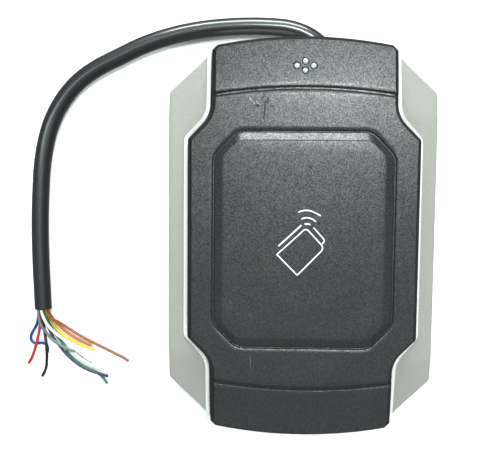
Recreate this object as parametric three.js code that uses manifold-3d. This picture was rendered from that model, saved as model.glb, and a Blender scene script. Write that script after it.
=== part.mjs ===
// Wall-mounted RFID card reader: a silver base housing, a dark front cover, the electronics between them
// and a ten-wire lead with a stripped end.
// Millimetres. The reader lies on its back: z = 0 is its rear plane, +Z points out of the front,
// +Y is its top end and +X its right side seen from the front. The origin is the middle of the rear plane.
import * as THREE from "three";
import { ConvexGeometry } from "three/addons/geometries/ConvexGeometry.js";
import { mergeVertices } from "three/addons/utils/BufferGeometryUtils.js";
import Module from "manifold-3d";

const wasm = await Module();
wasm.setup();

// ---------------------------------------------------------------- driving dimensions

const GAP = 0.3; // clearance between pieces that meet
const WALL = 2.2; // moulded wall thickness of both shells
const ABOVE = 40; // higher than everything, for cuts that go right through
const BELOW = -10; // lower than everything

// Front cover outline: waisted neck at each end, wide shoulders in the middle, bowed ends.
const COVER = {
  shoulderX: 40.7,
  shoulderY: 35.1,
  shoulderRadius: 2,
  neckX: 32.5,
  neckY: 43.3,
  neckRadius: 10,
  cornerY: 65.9,
  endX: 30.6,
  endY: 67.9,
  cornerRadius: 1.2,
  tipY: 71,
  skirtZ: 13, // lower edge of the skirt
  rootZ: 19, // hooks and lug grow out of the walls up to here
  faceZ: 25.3, // flat middle of the face
  flatY: 50, // the face is flat up to here
  browY: 52.6, // the brow and chin slope away from here
  browZ: 25.1,
  tipZ: 22.4, // face height at the two ends
};

// Raised panel in the middle of the face, where a card is presented.
const PANEL = {
  x: 31.7,
  y: 38.1,
  chamfer: 8.6,
  radius: 3,
  grooveWidth: 1.2,
  grooveDepth: 0.8,
  topX: 27.4,
  topY: 33.8,
  topChamfer: 4.6,
  topRadius: 1,
  topZ: 27,
  pocketInset: 3.3, // wall left round the coil's pocket behind the panel
};

// Bowed grooves that mark off the brow and the chin.
const ARCH = { y: 52.4, radius: 195, width: 1.6, depth: 0.8, x: 34 };

// Base housing: an octagon whose two wings slope down and outwards beside the cover.
const HOUSING = {
  wingX: 48.2,
  wingY: 52.5,
  wingRadius: 1.5,
  cornerX: 32,
  cornerY: 66.55,
  endX: 30.2,
  endY: 67.3,
  tipY: 70.4,
  wingZ: 13, // height of the wing at its outer edge
  slopeX: 0.36, // rise of the wing towards the cover
  slopeY: 0.21, // fall of the wing towards the ends
  bendY: 43.5, // where that fall starts
  lipWidth: 1.5,
  lipHeight: 0.8,
  coverGap: 0.35, // round the cover's skirt
  ledgeZ: 12.7, // the cover's skirt stands over this ledge
  ledgeBottomZ: 9.2,
  ledgeWidth: 3.2,
};

// Seal ring that lies in a groove in the ledge, under the cover's skirt.
const SEAL = { inset: 1, width: 1.2, height: 1.4 };

// Back plate, with the pocket that the cable leaves through.
const PLATE = { bottomZ: 0.6, topZ: 2.6, inset: WALL + GAP, glandHole: 4.2 };
const POCKET = { x0: -6, x1: 22, y0: 30, ceilingZ: 10.6, wall: 2, roof: 1.8, inset: 3.6 };
const NOTCH = { x0: -4, x1: 20, topZ: 8.5 };

// Circuit board and what it carries.
const BOARD = {
  x: 25.5,
  y0: -47,
  y1: 64,
  radius: 2,
  bottomZ: 14.2,
  thickness: 1.6,
  screwX: 22.5,
  screwY: [-42, 22],
};
const BOARD_TOP = BOARD.bottomZ + BOARD.thickness;
const STANDOFF = { radius: 3, holeZ: 7 };
const ANTENNA = {
  x: 26.2,
  y: 32.2,
  bottomZ: 20.4,
  topZ: 24.3,
  width: 5.2,
  channel: 3.2,
  flange: 0.8,
  radius: 8,
};

// Four round light tips in a diamond on the brow.
const LIGHTS = {
  y: 60,
  side: 2.85,
  rise: 1.6,
  tipRadius: 1,
  holeRadius: 1.35,
  topZ: 24,
  halfX: 7,
  halfY: 3.6,
  baseZ: 19.6,
  baseTopZ: 20.9,
  legX: 6,
};
const LIGHT_PLACES = {
  top: [0, LIGHTS.y + LIGHTS.rise],
  bottom: [0, LIGHTS.y - LIGHTS.rise],
  left: [-LIGHTS.side, LIGHTS.y],
  right: [LIGHTS.side, LIGHTS.y],
};

// Larger parts on the board. Each height is measured from the part's foot.
const BUZZER = { x: 9, y: -15, radius: 6, height: 5, portRadius: 1, portDepth: 1.5 };
const REGULATOR = { x: -15.5, y: -16, width: 6.6, length: 6.2, height: 2.3, tabLength: 2.4, tabHeight: 0.6 };
const CAPACITOR = { base: 6.4, baseHeight: 0.9, radius: 2.9, height: 4 };
const INDUCTOR = { x: -14, y: 18, radius: 3.6, waistRadius: 2.4, height: 3.4, flange: 0.8 };
const CRYSTAL = { x: 8, y: 1, halfLength: 5, halfWidth: 2.2, height: 3.2 };
const HEADER = { x: 13.7, halfLength: 11, halfWidth: 3.6, wall: 1.2, bottomZ: 9.6, floorZ: 12.6 };
const PLUG = {
  x: HEADER.x,
  bodyX: 9.3,
  bodyY: 2,
  bodyTopZ: 12.2,
  skirtX: 10.5,
  skirtY: 3.2,
  skirtTopZ: 9.2,
  bottomZ: 5.4,
};

// Fasteners and wall fixing.
const SCREW = { shankRadius: 1, holeRadius: 1.3, headRadius: 2.3, headHeight: 0.9 };
const PLATE_SCREW = { x: 41.5, y: 44, length: 9, seatZ: 1.7, bossRadius: 3, bossRoof: 1, holeTopZ: 11 };
const BOARD_SCREW = { length: 8 };
const WALL_POST = { x: 33, y: 26, radius: 4.8, topZ: 6, holeRadius: 2.3, seatRadius: 4.2, seatZ: 3.5 };
const SECURITY = {
  z: 7,
  length: 8,
  shankRadius: 1.2,
  holeRadius: 1.5,
  headRadius: 2.5,
  seatY: 69.2, // floor of the recess that the head sits in
  lugX: 5,
  lugOuterY: 67.5,
  lugInnerY: 64.5,
  lugZ: 4,
};
const HOOK = { x0: 26.2, x1: 29, barb: 1.4, y0: 50, y1: 58, z0: 7.2, barbTopZ: 8.9 };

// Tamper switch: a sprung plunger that the wall holds pressed.
const TAMPER = {
  x: 0,
  y: -30,
  tipZ: 0.1,
  tipRadius: 1.6,
  boreRadius: 1.9,
  guideRadius: 3.6,
  guideTopZ: 5.2,
  flangeRadius: 2.6,
  flangeZ: 7.2, // stops the plunger on the guide when it is out
  stemRadius: 1.1,
  stemTopZ: 10.9,
  bodyHalf: 4,
  bodyBottomZ: 9.6,
  bodyBore: 3,
  boreTopZ: 12.8,
};
const SPRING = { radius: 2, wire: 0.2, turns: 4, pointsPerTurn: 8, bottomZ: 8.85, topZ: 12.4 };

// Cable and wires.
const CABLE = { radius: 3.25, glandX: 15.7, glandZ: 5.2, mouthY: 46.3, bore: 2.7, boreDepth: 8.5 };
const GLAND = {
  sleeveRadius: 3.9,
  flangeRadius: 4.9,
  flangeThickness: 1.5,
  ribs: 5,
  ribRadius: 4.6,
  ribTaper: 0.7, // how much smaller the last rib is
  ribRoot: 3.6,
};
const WIRE_RADIUS = 0.55;
const INNER_LEADS = { radius: 2, startY: 25.8, endY: 4, endZ: 7.3 };

// ---------------------------------------------------------------- solid helpers

function solid(geometry) {
  const bare = geometry.index ? geometry.toNonIndexed() : geometry.clone();
  bare.deleteAttribute("normal");
  bare.deleteAttribute("uv");
  const merged = mergeVertices(bare, 1e-4);
  return new wasm.Manifold(
    new wasm.Mesh({
      numProp: 3,
      vertProperties: new Float32Array(merged.attributes.position.array),
      triVerts: new Uint32Array(merged.index.array),
    }),
  );
}

function geometryOf(body) {
  const mesh = body.getMesh();
  const indexed = new THREE.BufferGeometry();
  indexed.setAttribute("position", new THREE.BufferAttribute(new Float32Array(mesh.vertProperties), 3));
  indexed.setIndex(new THREE.BufferAttribute(new Uint32Array(mesh.triVerts), 1));
  const flat = indexed.toNonIndexed();
  flat.computeVertexNormals();
  return flat;
}

const union = (first, ...rest) => rest.reduce((all, next) => all.add(next), first);
const cut = (first, ...rest) => rest.reduce((all, next) => all.subtract(next), first);

function slab(points, z0, z1) {
  const shape = new THREE.Shape(points.map(([x, y]) => new THREE.Vector2(x, y)));
  return solid(new THREE.ExtrudeGeometry(shape, { depth: z1 - z0, bevelEnabled: false }).translate(0, 0, z0));
}

function block(x0, x1, y0, y1, z0, z1) {
  const box = new THREE.BoxGeometry(x1 - x0, y1 - y0, z1 - z0);
  return solid(box.translate((x0 + x1) / 2, (y0 + y1) / 2, (z0 + z1) / 2));
}

function upright(x, y, z0, z1, radius, sides = 16) {
  const cylinder = new THREE.CylinderGeometry(radius, radius, z1 - z0, sides).rotateX(Math.PI / 2);
  return solid(cylinder.translate(x, y, (z0 + z1) / 2));
}

// A turned piece along Z: profile is a list of [radius, z] that starts and ends on the axis, going up.
function turned(profile, sides = 16) {
  const points = profile.map(([radius, z]) => new THREE.Vector2(radius, z));
  return new THREE.LatheGeometry(points, sides).rotateX(Math.PI / 2);
}

// A plain round tube along a smooth curve through the given points.
function cord(points, radius, sides, steps) {
  const shape = new THREE.Shape(
    Array.from({ length: sides }, (_, i) => {
      const angle = (2 * Math.PI * i) / sides;
      return new THREE.Vector2(radius * Math.cos(angle), radius * Math.sin(angle));
    }),
  );
  const knots = points.map((point) => new THREE.Vector3(...point));
  const path = new THREE.CatmullRomCurve3(knots, false, "centripetal");
  return new THREE.ExtrudeGeometry(shape, { steps, extrudePath: path, bevelEnabled: false });
}

// ---------------------------------------------------------------- outlines

// Moves every side of a closed outline out by offset and rounds each corner [x, y, radius] to suit.
function outline(corners, offset = 0, arcSteps = 3) {
  const count = corners.length;
  return corners.flatMap(([x, y, radius], i) => {
    const here = new THREE.Vector2(x, y);
    const before = new THREE.Vector2(...corners[(i + count - 1) % count]);
    const after = new THREE.Vector2(...corners[(i + 1) % count]);
    const a = here.clone().sub(before).normalize();
    const b = after.sub(here).normalize();
    const mitre = offset / (1 + a.dot(b));
    const corner = new THREE.Vector2(x + (a.y + b.y) * mitre, y - (a.x + b.x) * mitre);
    const turn = Math.atan2(a.cross(b), a.dot(b));
    const round = radius > 0 ? radius + Math.sign(turn) * offset : 0;
    if (round < 0.05) return [[corner.x, corner.y]];
    const reach = round * Math.tan(Math.abs(turn) / 2);
    const start = corner.clone().addScaledVector(a, -reach);
    const side = Math.sign(turn) * round;
    const centre = new THREE.Vector2(start.x - a.y * side, start.y + a.x * side);
    return Array.from({ length: arcSteps + 1 }, (_, k) => {
      const point = start.clone().rotateAround(centre, (turn * k) / arcSteps);
      return [point.x, point.y];
    });
  });
}

// Points of a shallow end arc between x = endX and x = -endX, without its two ends.
function endArc(endX, endY, tipY, steps = 8) {
  const sag = tipY - endY;
  const radius = (endX * endX + sag * sag) / (2 * sag);
  return Array.from({ length: steps - 1 }, (_, i) => {
    const x = endX * (1 - (2 * (i + 1)) / steps);
    return [x, tipY - radius + Math.sqrt(radius * radius - x * x), 0];
  });
}

// A whole outline from the corners of its upper right quarter, listed from the side to the end.
function wholeOutline(quarter, arc) {
  const mirrored = quarter.map(([x, y, radius]) => [-x, y, radius]).reverse();
  const top = [...quarter, ...arc, ...mirrored];
  return [...top, ...top.map(([x, y, radius]) => [-x, -y, radius])];
}

const COVER_CORNERS = wholeOutline(
  [
    [COVER.shoulderX, COVER.shoulderY, COVER.shoulderRadius],
    [COVER.neckX, COVER.neckY, COVER.neckRadius],
    [COVER.neckX, COVER.cornerY, COVER.cornerRadius],
    [COVER.endX, COVER.endY, COVER.cornerRadius],
  ],
  endArc(COVER.endX, COVER.endY, COVER.tipY),
);

const HOUSING_CORNERS = wholeOutline(
  [
    [HOUSING.wingX, HOUSING.wingY, HOUSING.wingRadius],
    [HOUSING.cornerX, HOUSING.cornerY, 0],
    [HOUSING.endX, HOUSING.endY, 0],
  ],
  endArc(HOUSING.endX, HOUSING.endY, HOUSING.tipY),
);

const coverOutline = (offset, arcSteps) => outline(COVER_CORNERS, offset, arcSteps);
const housingOutline = (offset) => outline(HOUSING_CORNERS, offset);

function octagon(x, y, chamfer, radius) {
  return wholeOutline([[x, y - chamfer, radius], [x - chamfer, y, radius]], []);
}

function roundedRectangle(x, y, radius, offset = 0) {
  return outline(wholeOutline([[x, y, radius]], []), offset);
}

// ---------------------------------------------------------------- shells

// Everything under the sloping wing surface, raised by lift: flat planes that meet in a ridge along Y
// and bend down towards both ends.
function underWings(lift) {
  const farX = 60;
  const farY = 80;
  const bottomZ = -10;
  const points = [];
  for (const x of [-farX, 0, farX]) {
    for (const y of [-farY, -HOUSING.bendY, HOUSING.bendY, farY]) {
      const rise = HOUSING.slopeX * (HOUSING.wingX - Math.abs(x));
      const fall = HOUSING.slopeY * (Math.abs(y) - HOUSING.bendY);
      points.push(new THREE.Vector3(x, y, HOUSING.wingZ + lift + rise - fall));
      points.push(new THREE.Vector3(x, y, bottomZ));
    }
  }
  return solid(new ConvexGeometry(points));
}

function rearHousing() {
  const farY = 80;
  const everything = slab(housingOutline(0), 0, ABOVE);
  const lipRing = slab(coverOutline(HOUSING.coverGap + HOUSING.lipWidth), HOUSING.ledgeZ, ABOVE);
  const lip = lipRing.intersect(everything).intersect(underWings(HOUSING.lipHeight));
  const body = everything.intersect(underWings(0)).add(lip);
  const opening = slab(coverOutline(HOUSING.coverGap), HOUSING.ledgeZ, ABOVE);
  const window = slab(coverOutline(-HOUSING.ledgeWidth), BELOW, ABOVE);
  const ledge = slab(coverOutline(HOUSING.lipWidth + 1), HOUSING.ledgeBottomZ, ABOVE).subtract(window);
  const hollow = slab(housingOutline(-WALL), BELOW, ABOVE).intersect(underWings(-WALL)).subtract(ledge);
  const sealGroove = cut(
    slab(coverOutline(GAP - SEAL.inset), HOUSING.ledgeZ - SEAL.height - GAP, ABOVE),
    slab(coverOutline(-SEAL.inset - SEAL.width - GAP), BELOW, ABOVE),
  );
  const notch = block(NOTCH.x0, NOTCH.x1, POCKET.y0 * 2, farY, BELOW, NOTCH.topZ);
  const securityHole = barAlongY(0, SECURITY.z, -farY, -SECURITY.lugInnerY, SECURITY.holeRadius);
  const securityRecess = barAlongY(0, SECURITY.z, -farY, -SECURITY.seatY, SECURITY.headRadius + GAP);
  let housing = cut(body, opening, hollow, window, sealGroove, notch, securityHole, securityRecess);
  for (const [x, y] of fourPlaces(PLATE_SCREW.x, PLATE_SCREW.y)) {
    const boss = upright(x, y, PLATE.topZ + GAP, ABOVE, PLATE_SCREW.bossRadius);
    housing = housing.add(boss.intersect(underWings(-PLATE_SCREW.bossRoof)));
    housing = housing.subtract(upright(x, y, BELOW, PLATE_SCREW.holeTopZ, SCREW.holeRadius, 12));
  }
  return housing;
}

// A round bar along Y, between y0 and y1, centred on x and z.
function barAlongY(x, z, y0, y1, radius, sides = 16) {
  return solid(new THREE.CylinderGeometry(radius, radius, y1 - y0, sides).translate(x, (y0 + y1) / 2, z));
}

// The four places at plus and minus x and y.
function fourPlaces(x, y) {
  return [[x, y], [-x, y], [-x, -y], [x, -y]];
}

// The prism under the front face, seen from the side: flat in the middle, sloping at the brow and chin.
function underFace(drop) {
  const half = [
    [COVER.flatY, COVER.faceZ],
    [COVER.browY, COVER.browZ],
    [COVER.tipY + 1, COVER.tipZ],
  ];
  const line = [...half.map(([y, z]) => [-y, z]).reverse(), ...half];
  const shape = new THREE.Shape([
    new THREE.Vector2(-COVER.tipY - 1, 0),
    ...line.map(([y, z]) => new THREE.Vector2(y, z - drop)),
    new THREE.Vector2(COVER.tipY + 1, 0),
  ].reverse());
  const prism = new THREE.ExtrudeGeometry(shape, { depth: 100, bevelEnabled: false });
  return solid(prism.translate(0, 0, -50).rotateY(Math.PI / 2).rotateX(Math.PI / 2));
}

// A bowed groove across the whole face, at the top end for side 1 and at the bottom end for side -1.
function archGroove(side) {
  const steps = 12;
  const edge = (shift) =>
    Array.from({ length: steps + 1 }, (_, i) => {
      const x = ARCH.x * (1 - (2 * i) / steps);
      return [x * side, side * (ARCH.y + shift - (x * x) / (2 * ARCH.radius))];
    });
  const points = [...edge(ARCH.width / 2), ...edge(-ARCH.width / 2).reverse()];
  return slab(points, COVER.browZ - ARCH.depth - GAP, ABOVE);
}

function frontCover() {
  const plan = octagon(PANEL.x, PANEL.y, PANEL.chamfer, PANEL.radius);
  const inGroove = outline(plan, -PANEL.grooveWidth);
  const foot = inGroove.map(([x, y]) => new THREE.Vector3(x, y, COVER.faceZ - 1));
  const rim = inGroove.map(([x, y]) => new THREE.Vector3(x, y, COVER.faceZ));
  const top = outline(octagon(PANEL.topX, PANEL.topY, PANEL.topChamfer, PANEL.topRadius));
  const plateau = top.map(([x, y]) => new THREE.Vector3(x, y, PANEL.topZ));
  const panel = solid(new ConvexGeometry([...foot, ...rim, ...plateau]));
  const trench = slab(outline(plan), COVER.faceZ - PANEL.grooveDepth, ABOVE);
  const groove = cut(trench, slab(inGroove, BELOW, ABOVE));
  const shell = slab(coverOutline(0), COVER.skirtZ, ABOVE).intersect(underFace(0));
  const hollow = slab(coverOutline(-WALL), BELOW, ABOVE).intersect(underFace(WALL));
  const pocketOutline = outline(plan, -PANEL.grooveWidth - PANEL.pocketInset);
  const coilPocket = slab(pocketOutline, COVER.skirtZ, PANEL.topZ - WALL);
  const holes = Object.values(LIGHT_PLACES).map(([x, y]) => upright(x, y, BELOW, ABOVE, LIGHTS.holeRadius));
  const cover = cut(shell.add(panel), groove, archGroove(1), archGroove(-1), hollow, coilPocket, ...holes);
  return union(cover, hook(1), hook(-1), securityLug());
}

// A snap hook inside the neck, whose barb catches under the housing's ledge.
function hook(side) {
  const { rootZ } = COVER;
  const spans = [
    [HOOK.x0, HOOK.x1, HOOK.z0, rootZ],
    [HOOK.x0, COVER.neckX - 1, COVER.skirtZ, rootZ],
    [HOOK.x0, HOOK.x1 + HOOK.barb, HOOK.z0, HOOK.barbTopZ],
  ];
  const blocks = spans.map(([x0, x1, z0, z1]) =>
    block(Math.min(side * x0, side * x1), Math.max(side * x0, side * x1), HOOK.y0, HOOK.y1, z0, z1),
  );
  return union(...blocks);
}

// The lug at the bottom end that the security screw holds.
function securityLug() {
  const { lugX, lugInnerY, lugOuterY, lugZ, z, holeRadius } = SECURITY;
  const { rootZ } = COVER;
  const post = block(-lugX, lugX, -lugOuterY, -lugInnerY, lugZ, rootZ);
  const root = block(-lugX, lugX, -COVER.tipY + WALL / 2, -lugInnerY, COVER.skirtZ, rootZ);
  return union(post, root).subtract(barAlongY(0, z, -COVER.tipY, -COVER.flatY, holeRadius));
}

function coverSeal() {
  const cornerSteps = 2;
  const outer = slab(coverOutline(-SEAL.inset, cornerSteps), HOUSING.ledgeZ - SEAL.height, HOUSING.ledgeZ);
  return outer.subtract(slab(coverOutline(-SEAL.inset - SEAL.width, cornerSteps), BELOW, ABOVE));
}

// The plate that closes the housing's back, with the cable pocket, the four wall posts, the board's
// standoffs and the plunger's guide moulded on it.
function backPlate() {
  const farY = 80;
  const { x0, x1, y0, ceilingZ, wall, roof, inset } = POCKET;
  const pocketBox = block(x0 - wall, x1 + wall, y0 - wall, farY, PLATE.bottomZ, ceilingZ + roof);
  const pocket = block(x0, x1, y0, farY, BELOW, ceilingZ);
  const glandHole = barAlongY(CABLE.glandX, CABLE.glandZ, y0 - 2 * wall, y0 + wall, PLATE.glandHole);
  const insideCover = slab(coverOutline(-inset), BELOW, ABOVE);
  let plate = slab(housingOutline(-PLATE.inset), PLATE.bottomZ, PLATE.topZ);
  plate = cut(plate.add(pocketBox.intersect(insideCover)), pocket, glandHole);
  for (const [x, y] of fourPlaces(WALL_POST.x, WALL_POST.y)) {
    plate = plate.add(upright(x, y, 0, WALL_POST.topZ, WALL_POST.radius));
    plate = plate.subtract(upright(x, y, BELOW, ABOVE, WALL_POST.holeRadius, 20));
    plate = plate.subtract(upright(x, y, WALL_POST.seatZ, ABOVE, WALL_POST.seatRadius));
  }
  for (const [x, y] of boardScrewPlaces()) {
    plate = plate.add(upright(x, y, PLATE.topZ - 1, BOARD.bottomZ - GAP, STANDOFF.radius));
    plate = plate.subtract(upright(x, y, STANDOFF.holeZ, ABOVE, SCREW.holeRadius, 12));
  }
  for (const [x, y] of fourPlaces(PLATE_SCREW.x, PLATE_SCREW.y)) {
    plate = plate.subtract(upright(x, y, BELOW, PLATE.topZ + 1, SCREW.holeRadius, 12));
    plate = plate.subtract(upright(x, y, BELOW, PLATE_SCREW.seatZ, SCREW.headRadius + GAP, 20));
  }
  plate = plate.add(upright(TAMPER.x, TAMPER.y, PLATE.bottomZ, TAMPER.guideTopZ, TAMPER.guideRadius));
  return plate.subtract(upright(TAMPER.x, TAMPER.y, BELOW, ABOVE, TAMPER.boreRadius, 20));
}

function boardScrewPlaces() {
  return BOARD.screwY.flatMap((y) => [[-BOARD.screwX, y], [BOARD.screwX, y]]);
}

// ---------------------------------------------------------------- electronics

function circuitBoard() {
  const middle = (BOARD.y0 + BOARD.y1) / 2;
  const length = BOARD.y1 - BOARD.y0;
  const points = roundedRectangle(BOARD.x, length / 2, BOARD.radius).map(([x, y]) => [x, y + middle]);
  const holes = boardScrewPlaces().map(([x, y]) => upright(x, y, BELOW, ABOVE, SCREW.holeRadius, 12));
  return cut(slab(points, BOARD.bottomZ, BOARD_TOP), ...holes);
}

// The frame that carries the antenna coil in a channel round its outside.
function antennaFormer() {
  const { x, y, bottomZ, topZ, width, channel, flange, radius } = ANTENNA;
  const ring = slab(roundedRectangle(x, y, radius), bottomZ, topZ);
  const window = slab(roundedRectangle(x, y, radius, -width), BELOW, ABOVE);
  const recess = cut(
    slab(roundedRectangle(x, y, radius, 1), bottomZ + flange, topZ - flange),
    slab(roundedRectangle(x, y, radius, -channel), BELOW, ABOVE),
  );
  return cut(ring, window, recess);
}

function antennaCoil() {
  const { x, y, bottomZ, topZ, channel, flange, radius } = ANTENNA;
  const ring = slab(roundedRectangle(x, y, radius, -GAP), bottomZ + flange + GAP, topZ - flange - GAP);
  return ring.subtract(slab(roundedRectangle(x, y, radius, GAP - channel), BELOW, ABOVE));
}

// Clear moulding that stands over the four lamps and leads their light to the tips in the brow.
function lightGuide() {
  const { y, halfX, halfY, baseZ, baseTopZ, legX, tipRadius, topZ } = LIGHTS;
  const base = block(-halfX, halfX, y - halfY, y + halfY, baseZ, baseTopZ);
  const tips = Object.values(LIGHT_PLACES).map(([tipX, tipY]) => upright(tipX, tipY, baseZ, topZ, tipRadius));
  const legs = [-legX, legX].map((x) => block(x - 1, x + 1, y - 2, y + 2, BOARD_TOP + GAP, baseTopZ));
  return union(base, ...tips, ...legs);
}

// Components stand a clearance above the board. Sizes are those of common packages.
const FOOT_Z = BOARD_TOP + GAP;

function chip(x, y, width, length, height) {
  return block(x - width / 2, x + width / 2, y - length / 2, y + length / 2, FOOT_Z, FOOT_Z + height);
}

function buzzer() {
  const { x, y, radius, height, portRadius, portDepth } = BUZZER;
  const can = upright(x, y, FOOT_Z, FOOT_Z + height, radius, 32);
  return can.subtract(upright(x, y, FOOT_Z + height - portDepth, ABOVE, portRadius));
}

function voltageRegulator() {
  const { x, y, width, length, height, tabLength, tabHeight } = REGULATOR;
  const tab = chip(x, y - (length + tabLength) / 2 + 0.5, width - 0.6, tabLength + 1, tabHeight);
  return chip(x, y, width, length, height).add(tab);
}

function canCapacitor(x, y) {
  const { base, baseHeight, radius, height } = CAPACITOR;
  const can = upright(x, y, FOOT_Z + baseHeight / 2, FOOT_Z + height, radius);
  return chip(x, y, base, base, baseHeight).add(can);
}

// A ferrite bobbin with a waist for its winding.
function inductor() {
  const { x, y, radius, waistRadius, height, flange } = INDUCTOR;
  const drum = upright(x, y, FOOT_Z, FOOT_Z + height, radius);
  const waist = upright(x, y, BELOW, ABOVE, waistRadius);
  return drum.subtract(upright(x, y, FOOT_Z + flange, FOOT_Z + height - flange, radius + 1).subtract(waist));
}

function crystal() {
  const { x, y, halfLength, halfWidth, height } = CRYSTAL;
  const points = roundedRectangle(halfLength, halfWidth, halfWidth - 0.1);
  return slab(points.map(([px, py]) => [px + x, py + y]), FOOT_Z, FOOT_Z + height);
}

function cableHeader() {
  const { x, halfLength, halfWidth, wall, bottomZ, floorZ } = HEADER;
  const shell = block(x - halfLength, x + halfLength, -halfWidth, halfWidth, bottomZ, BOARD.bottomZ - GAP);
  const inX = halfLength - wall;
  const inY = halfWidth - wall;
  return shell.subtract(block(x - inX, x + inX, -inY, inY, BELOW, floorZ));
}

// The ten-way plug on the cable's inner leads, pushed into the header.
function cablePlug() {
  const { x, bodyX, bodyY, bodyTopZ, skirtX, skirtY, bottomZ, skirtTopZ } = PLUG;
  const body = block(x - bodyX, x + bodyX, -bodyY, bodyY, skirtTopZ - 1, bodyTopZ);
  const skirt = block(x - skirtX, x + skirtX, -skirtY, skirtY, bottomZ, skirtTopZ);
  return union(body, skirt);
}

// ---------------------------------------------------------------- fasteners and tamper switch

// A pan-head screw along Z with its head's free side at z = 0 and its shank going up.
function screwGeometry(length, shankRadius = SCREW.shankRadius, headRadius = SCREW.headRadius) {
  const neck = SCREW.headHeight;
  return turned([
    [0, 0],
    [headRadius * 0.8, 0],
    [headRadius, neck * 0.4],
    [headRadius, neck],
    [shankRadius, neck],
    [shankRadius, length - 1],
    [shankRadius * 0.4, length],
    [0, length],
  ], 12);
}

function tamperPlunger() {
  const { tipZ, tipRadius, flangeRadius, flangeZ, stemRadius, stemTopZ } = TAMPER;
  return turned([
    [0, tipZ],
    [tipRadius - 0.6, tipZ],
    [tipRadius, tipZ + 0.6],
    [tipRadius, flangeZ],
    [flangeRadius, flangeZ],
    [flangeRadius, flangeZ + 1],
    [stemRadius, flangeZ + 1],
    [stemRadius, stemTopZ],
    [0, stemTopZ],
  ]);
}

// A compression spring around the plunger's stem.
function tamperSpring() {
  const { radius, wire, turns, pointsPerTurn, bottomZ, topZ } = SPRING;
  const steps = turns * pointsPerTurn;
  const helix = Array.from({ length: steps + 1 }, (_, i) => {
    const angle = (2 * Math.PI * i) / pointsPerTurn;
    return [radius * Math.cos(angle), radius * Math.sin(angle), bottomZ + ((topZ - bottomZ) * i) / steps];
  });
  return cord(helix, wire, 5, steps);
}

function tamperSwitch() {
  const { x, y, bodyHalf, bodyBottomZ, bodyBore, boreTopZ } = TAMPER;
  const bodyTopZ = BOARD.bottomZ - GAP;
  const body = block(x - bodyHalf, x + bodyHalf, y - bodyHalf, y + bodyHalf, bodyBottomZ, bodyTopZ);
  return body.subtract(upright(x, y, BELOW, boreTopZ, bodyBore));
}

// ---------------------------------------------------------------- cable and wires

// Moulded strain relief through the pocket's inner wall: a flat-footed flange inside, a round one outside,
// and ribs that taper to its mouth.
function cableGland() {
  const { flangeRadius, sleeveRadius, flangeThickness, ribRadius, ribTaper, ribs, ribRoot } = GLAND;
  const outerFace = POCKET.y0 + GAP;
  const innerFace = POCKET.y0 - POCKET.wall - GAP;
  const innerEnd = innerFace - flangeThickness;
  const ribStart = outerFace + flangeThickness + 0.6;
  const pitch = (CABLE.mouthY - ribStart - 0.6) / ribs;
  const profile = [
    [0, innerEnd],
    [sleeveRadius, innerEnd],
    [sleeveRadius, outerFace],
    [flangeRadius, outerFace],
  ];
  profile.push([flangeRadius, outerFace + flangeThickness]);
  for (let i = 0; i < ribs; i += 1) {
    const y = ribStart + i * pitch;
    const radius = ribRadius - (ribTaper * i) / ribs;
    const [start, end] = [y + pitch * 0.3, y + pitch * 0.9];
    profile.push([ribRoot, y], [ribRoot, start], [radius, start], [radius, end]);
  }
  profile.push([ribRoot, CABLE.mouthY], [0, CABLE.mouthY]);
  const points = profile.map(([radius, y]) => new THREE.Vector2(radius, y));
  const sleeve = solid(new THREE.LatheGeometry(points, 14).translate(CABLE.glandX, 0, CABLE.glandZ));
  const flange = barAlongY(CABLE.glandX, CABLE.glandZ, innerEnd, innerFace, flangeRadius);
  const foot = block(0, 2 * CABLE.glandX, 0, POCKET.y0 - POCKET.wall, BELOW, PLATE.topZ + GAP);
  return sleeve.add(flange).subtract(foot);
}

// The free cable's centre line, from the gland's mouth round to the stripped end.
const CABLE_ROUTE = [
  [15.7, 46.8, 5.2],
  [15.7, 49, 5.1],
  [15.7, 52, 4.7],
  [14.2, 60, 3.7],
  [9.6, 68.1, 3.3],
  [2.6, 74, 3.3],
  [-4.6, 76.7, 3.3],
  [-14, 77.6, 3.3],
  [-25, 77.5, 3.3],
  [-37, 76.4, 3.3],
  [-48, 74.2, 3.3],
  [-58.3, 70.9, 3.3],
  [-68, 66.4, 3.3],
  [-77, 61.8, 3.3],
  [-84, 56.6, 3.3],
  [-89.8, 49.6, 3.3],
  [-94.3, 40.6, 3.3],
  [-97.1, 29, 3.3],
  [-98.3, 15, 3.3],
  [-98.7, 1.5, 3.3],
  [-98.5, -13, 3.3],
  [-98.2, -21, 3.3],
  [-97.9, -29.1, 3.3],
];

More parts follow.
